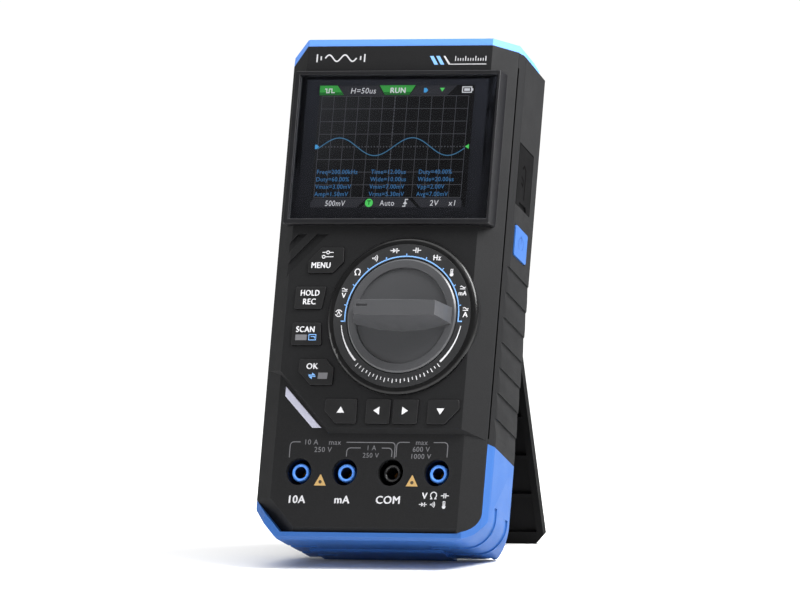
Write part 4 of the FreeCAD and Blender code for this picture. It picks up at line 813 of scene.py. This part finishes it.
def key_marks():
    """The legends on the key caps, each riding on its own key."""
    depth = KEY_FACE - SKIN

    def legend(node, material="white"):
        return Ink(f"legend_{node}_{material}", node, material, depth)

    ink = legend("key_mode")
    ink.text("MENU", -26.0, 94.75, 1.95, 0.08, narrow=0.88)
    for level, knob in ((100.25, -20.1), (98.7, -21.6)):
        ink.ring((knob, level), 0.52, 0.30)
        for start, end in ((-22.2, knob - 0.55), (knob + 0.55, -18.0)):
            if end - start > 0.1:
                ink.stroke([(start, level), (end, level)], 0.28)
    ink.done("key_black")
    ink = legend("key_run")
    ink.text("HOLD", -29.1, 84.95, 1.95, 0.08, narrow=0.86)
    ink.text("REC", -28.0, 81.9, 1.95, 0.08, narrow=0.9)
    ink.done("key_black")
    ink = legend("key_auto")
    ink.text("SCAN", -29.6, 72.1, 1.95, 0.08, narrow=0.9)
    ink.done("key_black")
    ink = legend("key_auto", "grey_ink")
    ink.face([(-29.6, 69.2), (-25.4, 69.2), (-25.4, 71.2), (-29.6, 71.2)])
    ink.done("key_black")
    ink = legend("key_auto", "blue_ink")
    ink.stroke([(-24.6, 69.3), (-22.0, 69.3), (-22.0, 71.2), (-24.6, 71.2)], 0.26, closed=True)
    ink.stroke([(-22.5, 69.8), (-22.5, 70.5), (-23.9, 70.5)], 0.26)
    ink.done("key_black")
    ink = legend("key_enter")
    ink.text("OK", -24.6, 59.1, 1.95, 0.08)
    ink.done("key_black")
    ink = legend("key_enter", "grey_ink")
    ink.face([(-20.1, 55.6), (-16.6, 55.6), (-16.4, 57.8), (-19.9, 57.8)])
    ink.done("key_black")
    ink = legend("key_enter", "blue_ink")
    ink.face([(-23.5, 57.1), (-22.2, 57.1), (-22.2, 57.8), (-20.9, 56.9), (-23.5, 56.6)])
    ink.face([(-20.9, 56.3), (-22.2, 56.3), (-22.2, 55.5), (-23.5, 56.4), (-20.9, 56.7)])
    ink.done("key_black")
    for node, x, z, way in (("key_up", -10.55, 44.5, 90), ("key_left", 3.0, 44.6, 180),
                            ("key_right", 12.9, 44.6, 0), ("key_down", 26.2, 44.75, -90)):
        ink = legend(node)
        turned = [math.radians(way + step) for step in (0, 118, 242)]
        ink.face([(x + r * math.cos(a), z + r * math.sin(a))
                  for a, r in zip(turned, (1.45, 1.6, 1.6))])
        ink.done("key_black")


def side_marks():
    """A dark strip of painted shadow in the right seam, and the marks on the port flap and the
    power key.
    """
    # a near-black strip along the right seam: painted shadow of the gap between the covers
    gasket = Ink("seam_gasket", "case", "gasket", 6.84)
    gasket.stroke([(41.78, 36.5), (41.78, 167.2)], 0.42)
    gasket.done("soft_black")
    flap = Ink("flap_mark", "port_flap", "gasket", FLAP_FACE + SKIN, sideways=True)
    flap.stroke([(18.2, 123.0), (18.2, 133.2), (16.6, 134.6), (15.2, 133.4)], 0.7)
    flap.stroke([(14.6, 130.6), (16.4, 129.6), (16.4, 127.4), (14.8, 128.4)], 0.6)
    flap.stroke([(10.95, 120.6), (10.95, 141.6), (24.5, 139.7), (24.7, 118.8)], 0.22)
    flap.done("soft_black")
    ring = Ink("power_mark", "power_button", "navy_ink", POWER_KEY_FACE + SKIN, sideways=True)
    ring.arc((18.0, 107.3), 2.3, -60, 240, 0.42)
    ring.stroke([(18.0, 107.2), (18.0, 110.2)], 0.42)
    ring.done("bumper_blue")


range_ring()
front_marks()
key_marks()
side_marks()


# ------------------------------------------------------------------ stage, lights, camera

def studio():
    floor_mesh = bpy.data.meshes.new("floor")
    work = bmesh.new()
    corners = [work.verts.new((x, y, 0)) for x, y in ((-30, -30), (30, -30), (30, 30), (-30, 30))]
    work.faces.new(corners)
    work.to_mesh(floor_mesh)
    work.free()
    floor = link_mesh("floor", floor_mesh)
    pale, nodes, links, shader = nodes_of("pale_floor")
    tone = ramp(nodes, links, noise(nodes, links, 400.0), [(0.3, 0.88), (0.7, 0.90)])
    links.new(tone, shader.inputs["Base Color"])
    shader.inputs["Roughness"].default_value = 0.9
    shader.inputs["Specular IOR Level"].default_value = 0.0
    floor_mesh.materials.append(pale)

    world = bpy.data.worlds.new("studio")
    world.use_nodes = True
    world.node_tree.nodes["Background"].inputs["Color"].default_value = (1, 1, 1, 1)
    world.node_tree.nodes["Background"].inputs["Strength"].default_value = 0.27
    SCENE.world = world

    def sun(name, towards, strength, spread):
        data = bpy.data.lights.new(name, "SUN")
        data.energy = strength
        data.angle = math.radians(spread)
        lamp = bpy.data.objects.new(name, data)
        lamp.rotation_euler = Vector(towards).to_track_quat("-Z", "Y").to_euler()
        SCENE.collection.objects.link(lamp)

    def panel(name, place, aim, size, power):
        data = bpy.data.lights.new(name, "AREA")
        data.shape = "RECTANGLE"
        data.size, data.size_y = size
        data.energy = power
        lamp = bpy.data.objects.new(name, data)
        lamp.location = place
        lamp.rotation_euler = (Vector(aim) - Vector(place)).to_track_quat("-Z", "Y").to_euler()
        SCENE.collection.objects.link(lamp)

    sun("overhead", (0.0, 0.12, -1.0), 2.85, 70)
    panel("right_softbox", (0.30, -0.01, 0.39), (0.04, 0.02, 0.14), (0.24, 0.24), 4.6)
    panel("left_fill", (-0.9, -0.35, 0.12), (0, -0.03, 0.05), (0.5, 0.3), 3.0)


def camera():
    """The camera, given in the case's own frame and carried along by its lean."""
    data = bpy.data.cameras.new("camera")
    data.sensor_width = 36.0
    data.lens = 445.48
    eye = bpy.data.objects.new("camera", data)
    place = Vector((1247.838, -3095.066, -603.577))
    aim = Vector((-0.26, 20.0, 88.06))
    forward = (aim - place).normalized()
    up = Vector((-0.0026, -0.21777, 0.97602))
    right = forward.cross(up).normalized()
    up = right.cross(forward)
    turned = CASE.to_3x3() @ Matrix((right, up, -forward)).transposed() * 1000.0
    eye.matrix_world = Matrix.Translation(CASE @ place) @ turned.to_4x4()
    data.clip_start = 0.1
    data.clip_end = 100.0
    SCENE.collection.objects.link(eye)
    SCENE.camera = eye


studio()
camera()
SCENE.view_settings.view_transform = "Standard"
